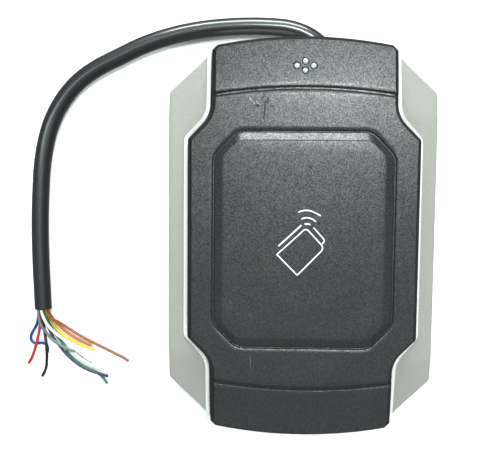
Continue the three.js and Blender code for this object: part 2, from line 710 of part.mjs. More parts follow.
// Each wire starts inside the sheath, on a ring or in the middle of the bundle, and fans out on the surface.
const WIRE_ROUTES = {
  grey: [
    [-99.8, -21.4, 4.4], [-99.5, -29.4, 4.3], [-99.4, -32.6, 4.2], [-98.8, -35.2, 3.8],
    [-97.5, -37.6, 3.1], [-96.1, -39.7, 2.4], [-94.4, -41.6, 2.1], [-92.4, -43, 2.1],
    [-90.3, -44.2, 2.1], [-88.2, -45.1, 2.1], [-86.2, -45.8, 1.7],
  ],
  white: [
    [-98.4, -21.4, 5.2], [-98.1, -29.4, 5.1], [-97.5, -32, 4.7], [-96.6, -34.4, 4.1],
    [-95.2, -36.8, 3.1], [-93.3, -39, 2.2], [-91.1, -40.9, 1.4], [-89.3, -43.2, 0.62],
    [-87.4, -45.9, 0.62], [-84.8, -48.4, 0.62], [-81.4, -50.7, 0.62], [-77.4, -52.6, 0.62],
    [-73.3, -54.2, 0.62],
  ],
  red: [
    [-98.8, -21.4, 3.4], [-98.6, -29.4, 3.3], [-98.9, -32.4, 2.8], [-99.6, -35.8, 2.3],
    [-100.2, -38.8, 2.1], [-101, -42.2, 2.1], [-102.4, -46.2, 1.2], [-103.8, -49.3, 0.62],
    [-104.9, -51.1, 0.62],
  ],
  black: [
    [-99.1, -21.4, 1.7], [-98.8, -29.4, 1.6], [-98.8, -33.4, 1], [-98.4, -37.6, 0.9],
    [-97.8, -40.2, 1.7], [-97.4, -42.6, 2.1], [-97.2, -46, 2.1], [-97.4, -49, 1.4],
    [-97.9, -52.3, 0.62], [-98.6, -54.4, 0.62], [-99.6, -56.2, 0.62],
  ],
  blue: [
    [-100.1, -21.4, 3.1], [-99.8, -29.4, 2.9], [-100.5, -32.4, 1.5], [-101.4, -35.6, 0.62],
    [-102.7, -37.9, 0.62], [-103.7, -40, 0.62], [-103.7, -41.7, 0.62], [-102.5, -42.9, 0.62],
    [-100.8, -43, 0.62], [-98.9, -43, 0.62], [-97.6, -43.7, 0.62], [-97.2, -45.2, 0.62],
    [-97.3, -46.6, 0.62],
  ],
  yellow: [
    [-96.8, -21.4, 2], [-96.5, -29.4, 1.9], [-96, -32, 1.2], [-95.2, -34.6, 0.62], [-94, -36.7, 0.62],
    [-92.4, -38.6, 0.62], [-90.3, -40.2, 0.62], [-87.4, -41.9, 0.62], [-84.5, -43.3, 0.62],
    [-81.5, -44.5, 0.62], [-78.9, -45.4, 0.62],
  ],
  orange: [
    [-96.3, -21.4, 3.3], [-96, -29.4, 3.3], [-95.3, -31.6, 2.6], [-94.2, -33.8, 1.3],
    [-92.6, -35.9, 0.62], [-90.8, -37.6, 0.62], [-88.6, -39.2, 0.62], [-85.9, -40.9, 0.62],
    [-83, -42.3, 0.62], [-79.9, -43.6, 0.62],
  ],
  brown: [
    [-96.8, -21.4, 4.5], [-96.5, -29.4, 4.5], [-95.9, -31.3, 4.1], [-94.6, -33, 3.2],
    [-92.6, -34.3, 1.9], [-90.3, -36.1, 0.75], [-87.6, -37.8, 0.62], [-84.9, -39.5, 0.62],
    [-80.4, -41.9, 0.62], [-75.2, -44.5, 0.62], [-71.3, -46.4, 0.62], [-67.4, -48.4, 0.62],
    [-65.5, -49.7, 0.62],
  ],
  violet: [
    [-98, -21.4, 2.3], [-97.7, -29.4, 2.2], [-97.6, -32.4, 1.5], [-97.2, -35.4, 0.7],
    [-96.2, -38.2, 0.62], [-94.9, -40.8, 0.62], [-93.4, -42.9, 0.62], [-91.9, -44.8, 0.7],
    [-90.4, -46.2, 1.5], [-88.3, -48.1, 2], [-85.8, -50.2, 2], [-83, -52, 2], [-80.4, -53.2, 2],
    [-77.2, -54.2, 2], [-75.4, -55, 1.5], [-73.6, -55.7, 0.7],
  ],
  green: [
    [-97.5, -21.4, 3.5], [-97.3, -29.4, 3.4], [-97, -32, 2.8], [-96.3, -34.8, 1.6], [-95.1, -37.6, 0.7],
    [-93.5, -40, 0.62], [-91.8, -42.2, 0.62], [-90.2, -44.6, 0.62], [-89.3, -46.7, 0.62],
    [-87.9, -48.4, 0.62], [-85.7, -50.2, 0.62], [-83, -52, 0.62], [-80.4, -53.2, 0.62],
    [-77.6, -54.6, 0.62], [-75.6, -56.4, 0.62], [-74, -58.7, 0.62],
  ],
};

// The sheath, bored at its cut end where the wires come out.
function cableSheath() {
  const tube = solid(cord(CABLE_ROUTE, CABLE.radius, 12, 30));
  const end = new THREE.Vector3(...CABLE_ROUTE.at(-1));
  const along = end.clone().sub(new THREE.Vector3(...CABLE_ROUTE.at(-2))).normalize();
  const length = CABLE.boreDepth + 2;
  const bore = new THREE.CylinderGeometry(CABLE.bore, CABLE.bore, length, 12);
  bore.applyQuaternion(new THREE.Quaternion().setFromUnitVectors(new THREE.Vector3(0, 1, 0), along));
  const centre = end.clone().addScaledVector(along, 2 - length / 2);
  return tube.subtract(solid(bore.translate(centre.x, centre.y, centre.z)));
}

// The cable's cores as one bundle, from the gland to the plug.
function innerLeads() {
  const { glandX, glandZ } = CABLE;
  const { radius, startY, endY, endZ } = INNER_LEADS;
  const route = [
    [glandX, startY, glandZ],
    [glandX, startY - 6, glandZ + 0.1],
    [glandX - 0.3, endY + 8, glandZ + 1],
    [glandX - 1, endY, endZ],
  ];
  return cord(route, radius, 10, 6);
}

// ---------------------------------------------------------------- assembly

const FINISHES = {
  charcoal: { color: 0x4c5150, roughness: 0.62, metalness: 0 },
  silver: { color: 0xb4b8b2, roughness: 0.4, metalness: 0.3 },
  blackPlastic: { color: 0x232526, roughness: 0.6, metalness: 0 },
  rubber: { color: 0x1c1d1e, roughness: 0.85, metalness: 0 },
  clear: { color: 0xeef2f2, roughness: 0.15, metalness: 0 },
  laminate: { color: 0x1f5a3a, roughness: 0.45, metalness: 0 },
  copper: { color: 0xb56a3a, roughness: 0.35, metalness: 0.9 },
  natural: { color: 0xe6e0cf, roughness: 0.55, metalness: 0 },
  package: { color: 0x1d1e20, roughness: 0.5, metalness: 0 },
  can: { color: 0xc3c6c8, roughness: 0.3, metalness: 0.9 },
  steel: { color: 0xb8babb, roughness: 0.3, metalness: 1 },
  ferrite: { color: 0x2b2a2a, roughness: 0.8, metalness: 0 },
  sheath: { color: 0x2a2c2d, roughness: 0.35, metalness: 0 },
};

const WIRE_COLOURS = {
  grey: 0x8d908e,
  white: 0xf2f2ec,
  red: 0xc22733,
  black: 0x1f2022,
  blue: 0x27418f,
  yellow: 0xf0cf20,
  orange: 0xd8791f,
  brown: 0x9a5a38,
  violet: 0x4b4468,
  green: 0x2f8a62,
};

const reader = new THREE.Group();

function place(name, shape, finish, position = [0, 0, 0], turn = [0, 0, 0]) {
  const geometry = shape.isBufferGeometry ? shape : geometryOf(shape);
  const mesh = new THREE.Mesh(geometry, new THREE.MeshStandardMaterial(finish));
  mesh.name = name;
  mesh.position.set(...position);
  mesh.rotation.set(...turn);
  reader.add(mesh);
}

place("rear_housing", rearHousing(), FINISHES.silver);
place("front_cover", frontCover(), FINISHES.charcoal);
place("cover_seal", coverSeal(), FINISHES.rubber);
place("back_plate", backPlate(), FINISHES.blackPlastic);
place("circuit_board", circuitBoard(), FINISHES.laminate);
place("antenna_former", antennaFormer(), FINISHES.natural);
place("antenna_coil", antennaCoil(), FINISHES.copper);
place("light_guide", lightGuide(), FINISHES.clear);
for (const [side, [x, y]] of Object.entries(LIGHT_PLACES)) {
  place(`led_${side}`, chip(x, y, 1.8, 1.2, 0.8), FINISHES.clear);
}
place("microcontroller", chip(-6, 8, 10, 10, 1.4), FINISHES.package);
place("reader_chip", chip(9, 12, 5, 6.2, 1.6), FINISHES.package);
place("voltage_regulator", voltageRegulator(), FINISHES.package);
place("crystal", crystal(), FINISHES.can);
place("inductor", inductor(), FINISHES.ferrite);
place("capacitor_input", canCapacitor(-15, -5), FINISHES.can);
place("capacitor_output", canCapacitor(-5, -24), FINISHES.can);
place("buzzer", buzzer(), FINISHES.package);
place("cable_header", cableHeader(), FINISHES.natural);
place("cable_plug", cablePlug(), FINISHES.natural);
place("inner_leads", innerLeads(), FINISHES.blackPlastic);
place("cable_gland", cableGland(), FINISHES.rubber);

fourPlaces(PLATE_SCREW.x, PLATE_SCREW.y).forEach(([x, y], i) => {
  const z = PLATE_SCREW.seatZ - GAP - SCREW.headHeight;
  place(`plate_screw_${i + 1}`, screwGeometry(PLATE_SCREW.length), FINISHES.steel, [x, y, z]);
});
boardScrewPlaces().forEach(([x, y], i) => {
  const z = BOARD_TOP + GAP + SCREW.headHeight;
  const geometry = screwGeometry(BOARD_SCREW.length);
  place(`board_screw_${i + 1}`, geometry, FINISHES.steel, [x, y, z], [Math.PI, 0, 0]);
});
place(
  "security_screw",
  screwGeometry(SECURITY.length, SECURITY.shankRadius, SECURITY.headRadius),
  FINISHES.steel,
  [0, -(SECURITY.seatY + GAP + SCREW.headHeight), SECURITY.z],
  [-Math.PI / 2, 0, 0],
);

place("tamper_switch", tamperSwitch(), FINISHES.package);
place("tamper_plunger", tamperPlunger(), FINISHES.natural, [TAMPER.x, TAMPER.y, 0]);
place("tamper_spring", tamperSpring(), FINISHES.steel, [TAMPER.x, TAMPER.y, 0]);

place("cable_sheath", cableSheath(), FINISHES.sheath);
for (const [colour, route] of Object.entries(WIRE_ROUTES)) {
  const finish = { color: WIRE_COLOURS[colour], roughness: 0.4, metalness: 0 };
  place(`wire_${colour}`, cord(route, WIRE_RADIUS, 8, 16), finish);
}

export default reader;
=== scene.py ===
import math

import bmesh
import bpy
import numpy as np
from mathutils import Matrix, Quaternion, Vector


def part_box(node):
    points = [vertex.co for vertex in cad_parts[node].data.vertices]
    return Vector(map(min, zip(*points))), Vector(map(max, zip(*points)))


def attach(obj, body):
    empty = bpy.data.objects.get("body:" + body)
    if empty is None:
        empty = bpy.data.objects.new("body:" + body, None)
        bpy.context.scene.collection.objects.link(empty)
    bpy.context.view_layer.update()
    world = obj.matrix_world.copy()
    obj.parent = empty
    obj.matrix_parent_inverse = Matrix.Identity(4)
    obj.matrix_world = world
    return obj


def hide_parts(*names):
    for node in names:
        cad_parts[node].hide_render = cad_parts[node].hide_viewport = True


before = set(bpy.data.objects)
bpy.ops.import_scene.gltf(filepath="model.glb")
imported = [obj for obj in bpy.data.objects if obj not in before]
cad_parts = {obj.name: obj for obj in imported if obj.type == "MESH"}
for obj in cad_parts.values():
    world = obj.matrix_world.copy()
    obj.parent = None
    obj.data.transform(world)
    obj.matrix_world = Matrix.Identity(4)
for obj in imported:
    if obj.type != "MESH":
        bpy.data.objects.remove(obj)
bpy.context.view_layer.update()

bl_info = {
    "name": "Card Reader",
    "version": (1, 0, 0),
    "blender": (4, 5, 0),
    "location": "View3D > Sidebar > Card Reader",
    "description": "Dresses the frame of a wall-mounted card reader: shells, lamps, symbol, cable and wires",
    "category": "Object",
}

# Plan shapes below are worked out in millimetres and turned to metres where a mesh is made.
# x is the reader's width, y its length with the lamps at the +y end, z comes out of its face.
MM = 0.001
READER = "reader"  # the body that everything but the tamper plunger rides on

# ------------------------------------------------------------------ shape of the two shells

COVER_HIGH = np.array(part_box("front_cover")[1]) / MM
HOUSING_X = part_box("rear_housing")[1][0] / MM

SHOULDER = (COVER_HIGH[0], 35.1, 2.0)  # corner x, y and radius of the cover's outline
NECK = (32.5, 43.3, 10.0)
BROW_CORNER = (32.5, 65.9, 1.2)
BROW_END = (30.6, 67.9, 1.2)
BROW_BULGE = COVER_HIGH[1] - BROW_END[1]  # how far the bowed end stands out at its middle
SPLIT_Y = 48.0  # the face's middle ring ends and its brow starts
SKIRT_Z = 13.0
FACE_Z = 25.3
PLATEAU_Z = COVER_HIGH[2] - 0.05
SLOPE_Y = 51.16  # the face slopes away beyond this
FACE_SLOPE = 0.139
ARCH_Y = 52.4  # middle of the bowed groove
ARCH_RADIUS = 195.0

WING_CORNER = (HOUSING_X, 52.5, 1.5)
HOUSING_CORNER = (32.0, 66.55, 0.3)
HOUSING_END = (30.2, 67.3, 0.3)
HOUSING_BULGE = 3.1
WING_Z = 13.0  # height of the wing at its outer edge
WING_RISE = 0.36  # towards the cover
WING_FALL = 0.21  # towards the ends
WING_BEND_Y = 43.5
LEDGE_Z = 12.7
LEDGE_BOTTOM_Z = 9.2
LEDGE_WIDTH = 3.2
COVER_GAP = 0.35
SMALLEST_RADIUS = 0.15

LIGHT_PLACES = [(0, 61.6), (0, 58.4), (-2.85, 60), (2.85, 60)]
LIGHT_HOLE_RADIUS = 1.35
LIGHT_HOLE_LOW, LIGHT_HOLE_HIGH = 15, 30  # heights between which the holes are cut

# ------------------------------------------------------------------ cable and wire routes

# Millimetres; the same points that the frame's cable follows.
CABLE_ROUTE = [
    (15.7, 46.8, 5.2), (15.7, 49, 5.1), (15.7, 52, 4.7), (14.2, 60, 3.7), (9.6, 68.1, 3.3), (2.6, 74, 3.3),
    (-4.6, 76.7, 3.3), (-14, 77.6, 3.3), (-25, 77.5, 3.3), (-37, 76.4, 3.3), (-48, 74.2, 3.3),
    (-58.3, 70.9, 3.3), (-68, 66.4, 3.3), (-77, 61.8, 3.3), (-84, 56.6, 3.3), (-89.8, 49.6, 3.3),
    (-94.3, 40.6, 3.3), (-97.1, 29, 3.3), (-98.3, 15, 3.3), (-98.7, 1.5, 3.3), (-98.5, -13, 3.3),
    (-98.2, -21, 3.3), (-97.9, -29.1, 3.3),
]
WIRE_ROUTES = {
    "grey": [
        (-99.8, -21.4, 4.4), (-99.5, -29.4, 4.3), (-99.4, -32.6, 4.2), (-98.8, -35.2, 3.8),
        (-97.5, -37.6, 3.1), (-96.1, -39.7, 2.4), (-94.4, -41.6, 2.1), (-92.4, -43, 2.1),
        (-90.3, -44.2, 2.1), (-88.2, -45.1, 2.1), (-86.2, -45.8, 1.7),
    ],
    "white": [
        (-98.4, -21.4, 5.2), (-98.1, -29.4, 5.1), (-97.5, -32, 4.7), (-96.6, -34.4, 4.1),
        (-95.2, -36.8, 3.1), (-93.3, -39, 2.2), (-91.1, -40.9, 1.4), (-89.3, -43.2, 0.62),
        (-87.4, -45.9, 0.62), (-84.8, -48.4, 0.62), (-81.4, -50.7, 0.62), (-77.4, -52.6, 0.62),
        (-73.3, -54.2, 0.62),
    ],
    "red": [
        (-98.8, -21.4, 3.4), (-98.6, -29.4, 3.3), (-98.9, -32.4, 2.8), (-99.6, -35.8, 2.3),
        (-100.2, -38.8, 2.1), (-101, -42.2, 2.1), (-102.4, -46.2, 1.2), (-103.8, -49.3, 0.62),
        (-104.9, -51.1, 0.62),
    ],
    "black": [
        (-99.1, -21.4, 1.7), (-98.8, -29.4, 1.6), (-98.8, -33.4, 1), (-98.4, -37.6, 0.9),
        (-97.8, -40.2, 1.7), (-97.4, -42.6, 2.1), (-97.2, -46, 2.1), (-97.4, -49, 1.4),
        (-97.9, -52.3, 0.62), (-98.6, -54.4, 0.62), (-99.6, -56.2, 0.62),
    ],
    "blue": [
        (-100.1, -21.4, 3.1), (-99.8, -29.4, 2.9), (-100.5, -32.4, 1.5), (-101.4, -35.6, 0.62),
        (-102.7, -37.9, 0.62), (-103.7, -40, 0.62), (-103.7, -41.7, 0.62), (-102.5, -42.9, 0.62),
        (-100.8, -43, 0.62), (-98.9, -43, 0.62), (-97.6, -43.7, 0.62), (-97.2, -45.2, 0.62),
        (-97.3, -46.6, 0.62),
    ],
    "yellow": [
        (-96.8, -21.4, 2), (-96.5, -29.4, 1.9), (-96, -32, 1.2), (-95.2, -34.6, 0.62), (-94, -36.7, 0.62),
        (-92.4, -38.6, 0.62), (-90.3, -40.2, 0.62), (-87.4, -41.9, 0.62), (-84.5, -43.3, 0.62),
        (-81.5, -44.5, 0.62), (-78.9, -45.4, 0.62),
    ],
    "orange": [
        (-96.3, -21.4, 3.3), (-96, -29.4, 3.3), (-95.3, -31.6, 2.6), (-94.2, -33.8, 1.3),
        (-92.6, -35.9, 0.62), (-90.8, -37.6, 0.62), (-88.6, -39.2, 0.62), (-85.9, -40.9, 0.62),
        (-83, -42.3, 0.62), (-79.9, -43.6, 0.62),
    ],
    "brown": [
        (-96.8, -21.4, 4.5), (-96.5, -29.4, 4.5), (-95.9, -31.3, 4.1), (-94.6, -33, 3.2),
        (-92.6, -34.3, 1.9), (-90.3, -36.1, 0.75), (-87.6, -37.8, 0.62), (-84.9, -39.5, 0.62),
        (-80.4, -41.9, 0.62), (-75.2, -44.5, 0.62), (-71.3, -46.4, 0.62), (-67.4, -48.4, 0.62),
        (-65.5, -49.7, 0.62),
    ],
    "violet": [
        (-98, -21.4, 2.3), (-97.7, -29.4, 2.2), (-97.6, -32.4, 1.5), (-97.2, -35.4, 0.7),
        (-96.2, -38.2, 0.62), (-94.9, -40.8, 0.62), (-93.4, -42.9, 0.62), (-91.9, -44.8, 0.7),
        (-90.4, -46.2, 1.5), (-88.3, -48.1, 2), (-85.8, -50.2, 2), (-83, -52, 2), (-80.4, -53.2, 2),
        (-77.2, -54.2, 2), (-75.4, -55, 1.5), (-73.6, -55.7, 0.7),
    ],
    "green": [
        (-97.5, -21.4, 3.5), (-97.3, -29.4, 3.4), (-97, -32, 2.8), (-96.3, -34.8, 1.6), (-95.1, -37.6, 0.7),
        (-93.5, -40, 0.62), (-91.8, -42.2, 0.62), (-90.2, -44.6, 0.62), (-89.3, -46.7, 0.62),
        (-87.9, -48.4, 0.62), (-85.7, -50.2, 0.62), (-83, -52, 0.62), (-80.4, -53.2, 0.62),
        (-77.6, -54.6, 0.62), (-75.6, -56.4, 0.62), (-74, -58.7, 0.62),
    ],
}
# The grey wire's bare strands run on from its insulation.
GREY_STRANDS = [
    (-87.4, -45.4, 1.9), (-86.2, -45.8, 1.7), (-84.9, -46.9, 1.3), (-83.1, -48.5, 0.9), (-79.7, -50.8, 0.5),
]


# ------------------------------------------------------------------ colours and settings


def linear(hex_colour):
    """The linear red, green and blue of an sRGB hex value."""
    parts = [int(hex_colour[i:i + 2], 16) / 255 for i in (0, 2, 4)]
    return [c / 12.92 if c <= 0.04045 else ((c + 0.055) / 1.055) ** 2.4 for c in parts]


def length_property(name, description, default):
    return bpy.props.FloatProperty(
        name=name, description=description, default=default, min=0.0, precision=5, unit="LENGTH"
    )


def colour_property(name, description, hex_colour):
    return bpy.props.FloatVectorProperty(
        name=name, description=description, default=linear(hex_colour), subtype="COLOR", min=0.0, max=1.0
    )


class CoverSettings(bpy.types.PropertyGroup):
    draft: length_property("Wall draft", "How far the cover's walls lean in from foot to bevel", 0.3 * MM)
    bevel: length_property("Bevel width", "Width of the steep bevel round the cover's face", 1.6 * MM)
    bevel_drop: length_property("Bevel drop", "Height of the steep bevel round the cover's face", 2.8 * MM)
    wall: length_property("Wall", "Thickness of the moulded shell", 2.2 * MM)
    arch_half: length_property("Arch groove half width", "From its middle to its edge", 0.85 * MM)
    arch_depth: length_property("Arch groove depth", "Depth of the grooves beside brow and chin", 0.95 * MM)
    panel_x: length_property("Panel half width", "Middle of the reader to the panel's groove", 31.7 * MM)
    panel_y: length_property("Panel half length", "Middle of the reader to the panel's groove", 38.1 * MM)
    panel_chamfer: length_property("Panel chamfer", "Length cut off each panel corner", 8.6 * MM)
    groove: length_property("Panel groove width", "Width of the groove round the panel", 0.9 * MM)
    groove_depth: length_property("Panel groove depth", "Depth of the groove round the panel", 0.7 * MM)
    plateau_x: length_property("Plateau half width", "Half width of the panel's flat top", 27.4 * MM)
    plateau_y: length_property("Plateau half length", "Half length of the panel's flat top", 33.8 * MM)
    plateau_chamfer: length_property("Plateau chamfer", "Length cut off each plateau corner", 4.6 * MM)
    plateau_z: length_property("Plateau height", "Height of the panel's flat top", PLATEAU_Z * MM)


class HousingSettings(bpy.types.PropertyGroup):
    lip_width: length_property("Lip width", "Width of the raised lip round the cover", 1.5 * MM)
    lip_height: length_property("Lip height", "How far the lip stands over the wing", 0.45 * MM)
    lip_edge: length_property("Lip edge radius", "Rounding of the lip's two edges", 0.25 * MM)
    wing_edge: length_property("Wing edge radius", "Rounding of the wing's outer edge", 0.4 * MM)
    wall: length_property("Wall", "Thickness of the moulded shell", 2.2 * MM)


class CableSettings(bpy.types.PropertyGroup):
    radius: length_property("Sheath radius", "Outer radius of the cable", 3.18 * MM)
    bore: length_property("Bore radius", "Inner radius of the sheath at its cut end", 2.68 * MM)
    bore_depth: length_property("Bore depth", "How far the cut end is open", 8.2 * MM)
    wire_radius: length_property("Wire radius", "Outer radius of one insulated wire", 0.54 * MM)
    strand_radius: length_property("Conductor radius", "Radius of a wire's stranded conductor", 0.26 * MM)


class ColourSettings(bpy.types.PropertyGroup):
    charcoal: colour_property("Cover", "Charcoal ABS of the cover", "292b2b")
    # Darker than the face's charcoal: painted shade on the steep sides, which face away from the light. They
    # are also plain, without the face's glittering grains.
    side: colour_property("Cover sides", "Plain charcoal ABS of the cover's steep sides", "1d2020")
    silver: colour_property("Housing", "Silver paint of the housing", "b1b0a9")
    # Lighter than the wing's silver and not metallic: a painted highlight for the light that the lip's level
    # top catches, not paint lying thicker there.
    lip: colour_property("Lip", "Paint of the housing's lip, where it lies thick and bright", "dadad6")
    sheath: colour_property("Sheath", "PVC of the cable's sheath", "121415")
    ink: colour_property("Symbol", "Ink of the symbol on the panel", "dde2e2")
    lamp: colour_property("Lamp tips", "Frosted acrylic of the light guide", "a4adb0")
    floor: colour_property("Floor", "Matt board under the reader", "fdfdfd")


WIRE_HEX = {
    "grey": "6c6f72",
    "white": "fbfbf0",
    "red": "aa2830",
    "black": "1c1e20",
    "blue": "223e80",
    "yellow": "dfb81a",
    "orange": "ad6012",
    "brown": "8b5232",
    "violet": "37324f",
    "green": "2a7a58",
}


# ------------------------------------------------------------------ mesh helpers

MERGE_REACH = 2e-6  # metres
SMOOTH_ANGLE = 30.0  # degrees; edges that turn more stay sharp
CORD_SMOOTH_ANGLE = 40.0
HOLE_SIDES = 40


def grid_faces(rows, columns, round_rows=False, round_columns=False):
    """The four corners of every cell of a grid of rows by columns of points, each way open or round."""
    row = np.arange(rows if round_rows else rows - 1)[:, None]
    column = np.arange(columns if round_columns else columns - 1)[None, :]
    next_row = (row + 1) % rows
    next_column = (column + 1) % columns
    corners = [
        row * columns + column,
        row * columns + next_column,
        next_row * columns + next_column,
        next_row * columns + column,
    ]
    return np.stack([np.broadcast_to(c, (row.size, column.size)).ravel() for c in corners], axis=1)


def make_piece(name, grids, smooth_angle=SMOOTH_ANGLE, second_from=None):
    """One mesh object from grids: (points in millimetres, rows x columns x 3, round rows, round columns).

    Points that coincide are merged, cells that closed up are dropped, and the faces are turned outwards.
    Grids from the number second_from on take the piece's second material.
    """
    points = []
    faces = []
    material = []
    total = 0
    for number, (grid, round_rows, round_columns) in enumerate(grids):
        rows, columns = grid.shape[:2]
        points.append(grid.reshape(-1, 3))
        faces.append(grid_faces(rows, columns, round_rows, round_columns) + total)
        is_second = second_from is not None and number >= second_from
        material.append(np.full(len(faces[-1]), int(is_second), np.int32))
        total += rows * columns
    mesh = bpy.data.meshes.new(name)
    mesh.from_pydata((np.concatenate(points) * MM).tolist(), [], np.concatenate(faces).tolist())
    mesh.polygons.foreach_set("material_index", np.concatenate(material))
    close_up(mesh)
    mesh.shade_smooth()
    mesh.set_sharp_from_angle(angle=math.radians(smooth_angle))
    piece = bpy.data.objects.new(name, mesh)
    bpy.context.scene.collection.objects.link(piece)
    return piece


def close_up(mesh):
    """Merges points that lie on each other and turns the faces outwards."""
    work = bmesh.new()
    work.from_mesh(mesh)
    bmesh.ops.remove_doubles(work, verts=work.verts, dist=MERGE_REACH)
    bmesh.ops.dissolve_degenerate(work, dist=MERGE_REACH / 10, edges=work.edges)
    bmesh.ops.recalc_face_normals(work, faces=work.faces)
    work.to_mesh(mesh)
    work.free()


def four_ways(grid):
    """A grid of the quarter where x and y are positive, and its three mirror images."""
    return [(grid * np.array([x, y, 1]), False, False) for x in (1, -1) for y in (1, -1)]


def cut_out(piece, cutters):
    """Cuts closed pieces out of a piece and removes them."""
    for cutter in cutters:
        cut = piece.modifiers.new("cut", "BOOLEAN")
        cut.operation = "DIFFERENCE"
        cut.solver = "EXACT"
        cut.object = cutter
    whole = piece.evaluated_get(bpy.context.evaluated_depsgraph_get())
    old = piece.data
    piece.data = bpy.data.meshes.new_from_object(whole)
    piece.modifiers.clear()
    bpy.data.meshes.remove(old)
    for cutter in cutters:
        bpy.data.objects.remove(cutter)
    piece.data.set_sharp_from_angle(angle=math.radians(SMOOTH_ANGLE))


def turned(profile, sides, centre=(0, 0, 0), axis="z"):
    """A turned grid: a profile of (radius, height) carried once round an axis through centre.

    A point is radius * (cos a, sin a) across the axis and height along it, with a going evenly round.
    """
    radius, height = np.array(profile, float).T[:, :, None]
    angle = np.linspace(0, 2 * np.pi, sides, endpoint=False)[None, :]
    across = radius * np.cos(angle)
    up = radius * np.sin(angle)
    along = np.broadcast_to(height, across.shape)
    order = (across, up, along) if axis == "z" else (across, along, -up)
    return np.stack(order, axis=-1) + np.array(centre), False, True


def box_grid(low, high):
    """A closed box as a turned square: two poles and two rings of four corners."""
    low, high = np.array(low, float), np.array(high, float)
    middle = (low + high) / 2
    ring = np.array([(low[0], low[1]), (high[0], low[1]), (high[0], high[1]), (low[0], high[1])])
    pole = np.repeat(middle[None, :2], 4, axis=0)
    levels = ((pole, low[2]), (ring, low[2]), (ring, high[2]), (pole, high[2]))
    return np.stack([np.column_stack([xy, np.full(4, z)]) for xy, z in levels]), False, True


# ------------------------------------------------------------------ curves


CURVE_SAMPLES = 24  # worked out between two points of a route
FEWEST_RINGS = 8


def smooth_path(route, step):
    """Points about step apart along a centripetal Catmull-Rom curve through the route.

    Between two route points the curve is the Hermite cubic whose end slopes are the knots' non-uniform
    differences, each knot spaced by the square root of the distance to the next; the ends are mirrored.
    """
    points = np.array(route, float)
    ends = np.stack([2 * points[0] - points[1], 2 * points[-1] - points[-2]])
    padded = np.concatenate([ends[:1], points, ends[1:]])
    knot = np.sqrt(np.linalg.norm(np.diff(padded, axis=0), axis=1))[:, None]
    before, here, after = knot[:-2], knot[1:-1], knot[2:]
    p0, p1, p2, p3 = padded[:-3], padded[1:-2], padded[2:-1], padded[3:]
    start = ((p1 - p0) / before - (p2 - p0) / (before + here) + (p2 - p1) / here) * here
    end = ((p2 - p1) / here - (p3 - p1) / (here + after) + (p3 - p2) / after) * here
    t = np.linspace(0, 1, CURVE_SAMPLES, endpoint=False)[None, :, None]
    curve = (
        p1[:, None] * (2 * t**3 - 3 * t**2 + 1)
        + start[:, None] * (t**3 - 2 * t**2 + t)
        + p2[:, None] * (3 * t**2 - 2 * t**3)
        + end[:, None] * (t**3 - t**2)
    ).reshape(-1, 3)
    curve = np.concatenate([curve, points[-1:]])
    along = np.concatenate([[0], np.cumsum(np.linalg.norm(np.diff(curve, axis=0), axis=1))])
    at = np.linspace(0, along[-1], max(FEWEST_RINGS, round(along[-1] / step) + 1))
    return np.stack([np.interp(at, along, curve[:, k]) for k in range(3)], axis=1)


def tube(path, profile, sides):
    """A tube grid along a path. profile is (distance along the path, radius) for each ring, in order.

    Ring directions come from the path's tangent t: side = t x up, top = side x t, so they never twist,
    and a ring's points are centre + radius * (cos a * side + sin a * top).
    """
    along = np.concatenate([[0], np.cumsum(np.linalg.norm(np.diff(path, axis=0), axis=1))])
    tangents = np.gradient(path, along, axis=0)
    distance, radius = np.array(profile, float).T
    centre = np.stack([np.interp(distance, along, path[:, k]) for k in range(3)], axis=1)
    tangent = np.stack([np.interp(distance, along, tangents[:, k]) for k in range(3)], axis=1)
    tangent /= np.linalg.norm(tangent, axis=1, keepdims=True)
    side = np.cross(tangent, [0, 0, 1])
    side /= np.linalg.norm(side, axis=1, keepdims=True)
    top = np.cross(side, tangent)
    angle = np.linspace(0, 2 * np.pi, sides, endpoint=False)[None, :, None]
    ring = np.cos(angle) * side[:, None] + np.sin(angle) * top[:, None]
    return centre[:, None] + radius[:, None, None] * ring, False, True


def path_length(path):
    return float(np.linalg.norm(np.diff(path, axis=0), axis=1).sum())


def ease(value):
    """0 below 0, 1 above 1, and 3v^2 - 2v^3 between."""
    value = np.clip(value, 0, 1)
    return value * value * (3 - 2 * value)


def rounded_path(corners, offset, arc_steps, edge_fractions):
    """Points of an open path in plan, its edges moved out by offset and its corners rounded.

    corners are (x, y, radius), walked anticlockwise. Each edge moves along its right-hand normal,
    neighbouring edges meet at the mitre, and the corner becomes an arc of radius plus offset on an outer
    corner and radius minus offset on an inner one. edge_fractions says where each edge's points lie, from
    0 to 1, and arc_steps how many steps each arc has.
    """
    corners = np.array(corners, float)
    points, radii = corners[:, :2], corners[1:-1, 2]
    along = np.diff(points, axis=0)
    along /= np.linalg.norm(along, axis=1, keepdims=True)
    out = np.stack([along[:, 1], -along[:, 0]], axis=1)
    cosine = (along[:-1] * along[1:]).sum(1)
    sine = along[:-1, 0] * along[1:, 1] - along[:-1, 1] * along[1:, 0]
    turns = np.arctan2(sine, cosine)
    mitred = points[1:-1] + (out[:-1] + out[1:]) * offset / (1 + cosine)[:, None]
    rounding = np.maximum(radii + np.sign(turns) * offset, SMALLEST_RADIUS)
    reach = (rounding * np.tan(np.abs(turns) / 2))[:, None]
    starts = np.concatenate([points[:1] + out[:1] * offset, mitred + along[1:] * reach])
    ends = np.concatenate([mitred - along[:-1] * reach, points[-1:] + out[-1:] * offset])
    pieces = []
    for i, fractions in enumerate(edge_fractions):
        pieces.append(starts[i] + (ends[i] - starts[i]) * np.asarray(fractions)[:, None])
        if i == len(turns):
            break
        side = np.sign(turns[i]) * rounding[i]
        centre = ends[i] + np.array([-along[i, 1], along[i, 0]]) * side
        angle = (turns[i] * np.arange(1, arc_steps[i]) / arc_steps[i])[:, None]
        spoke = (ends[i] - centre)[None, :]
        turned_spoke = spoke * np.cos(angle) + np.stack([-spoke[:, 1], spoke[:, 0]], axis=1) * np.sin(angle)
        pieces.append(centre + turned_spoke)
    return np.concatenate(pieces)


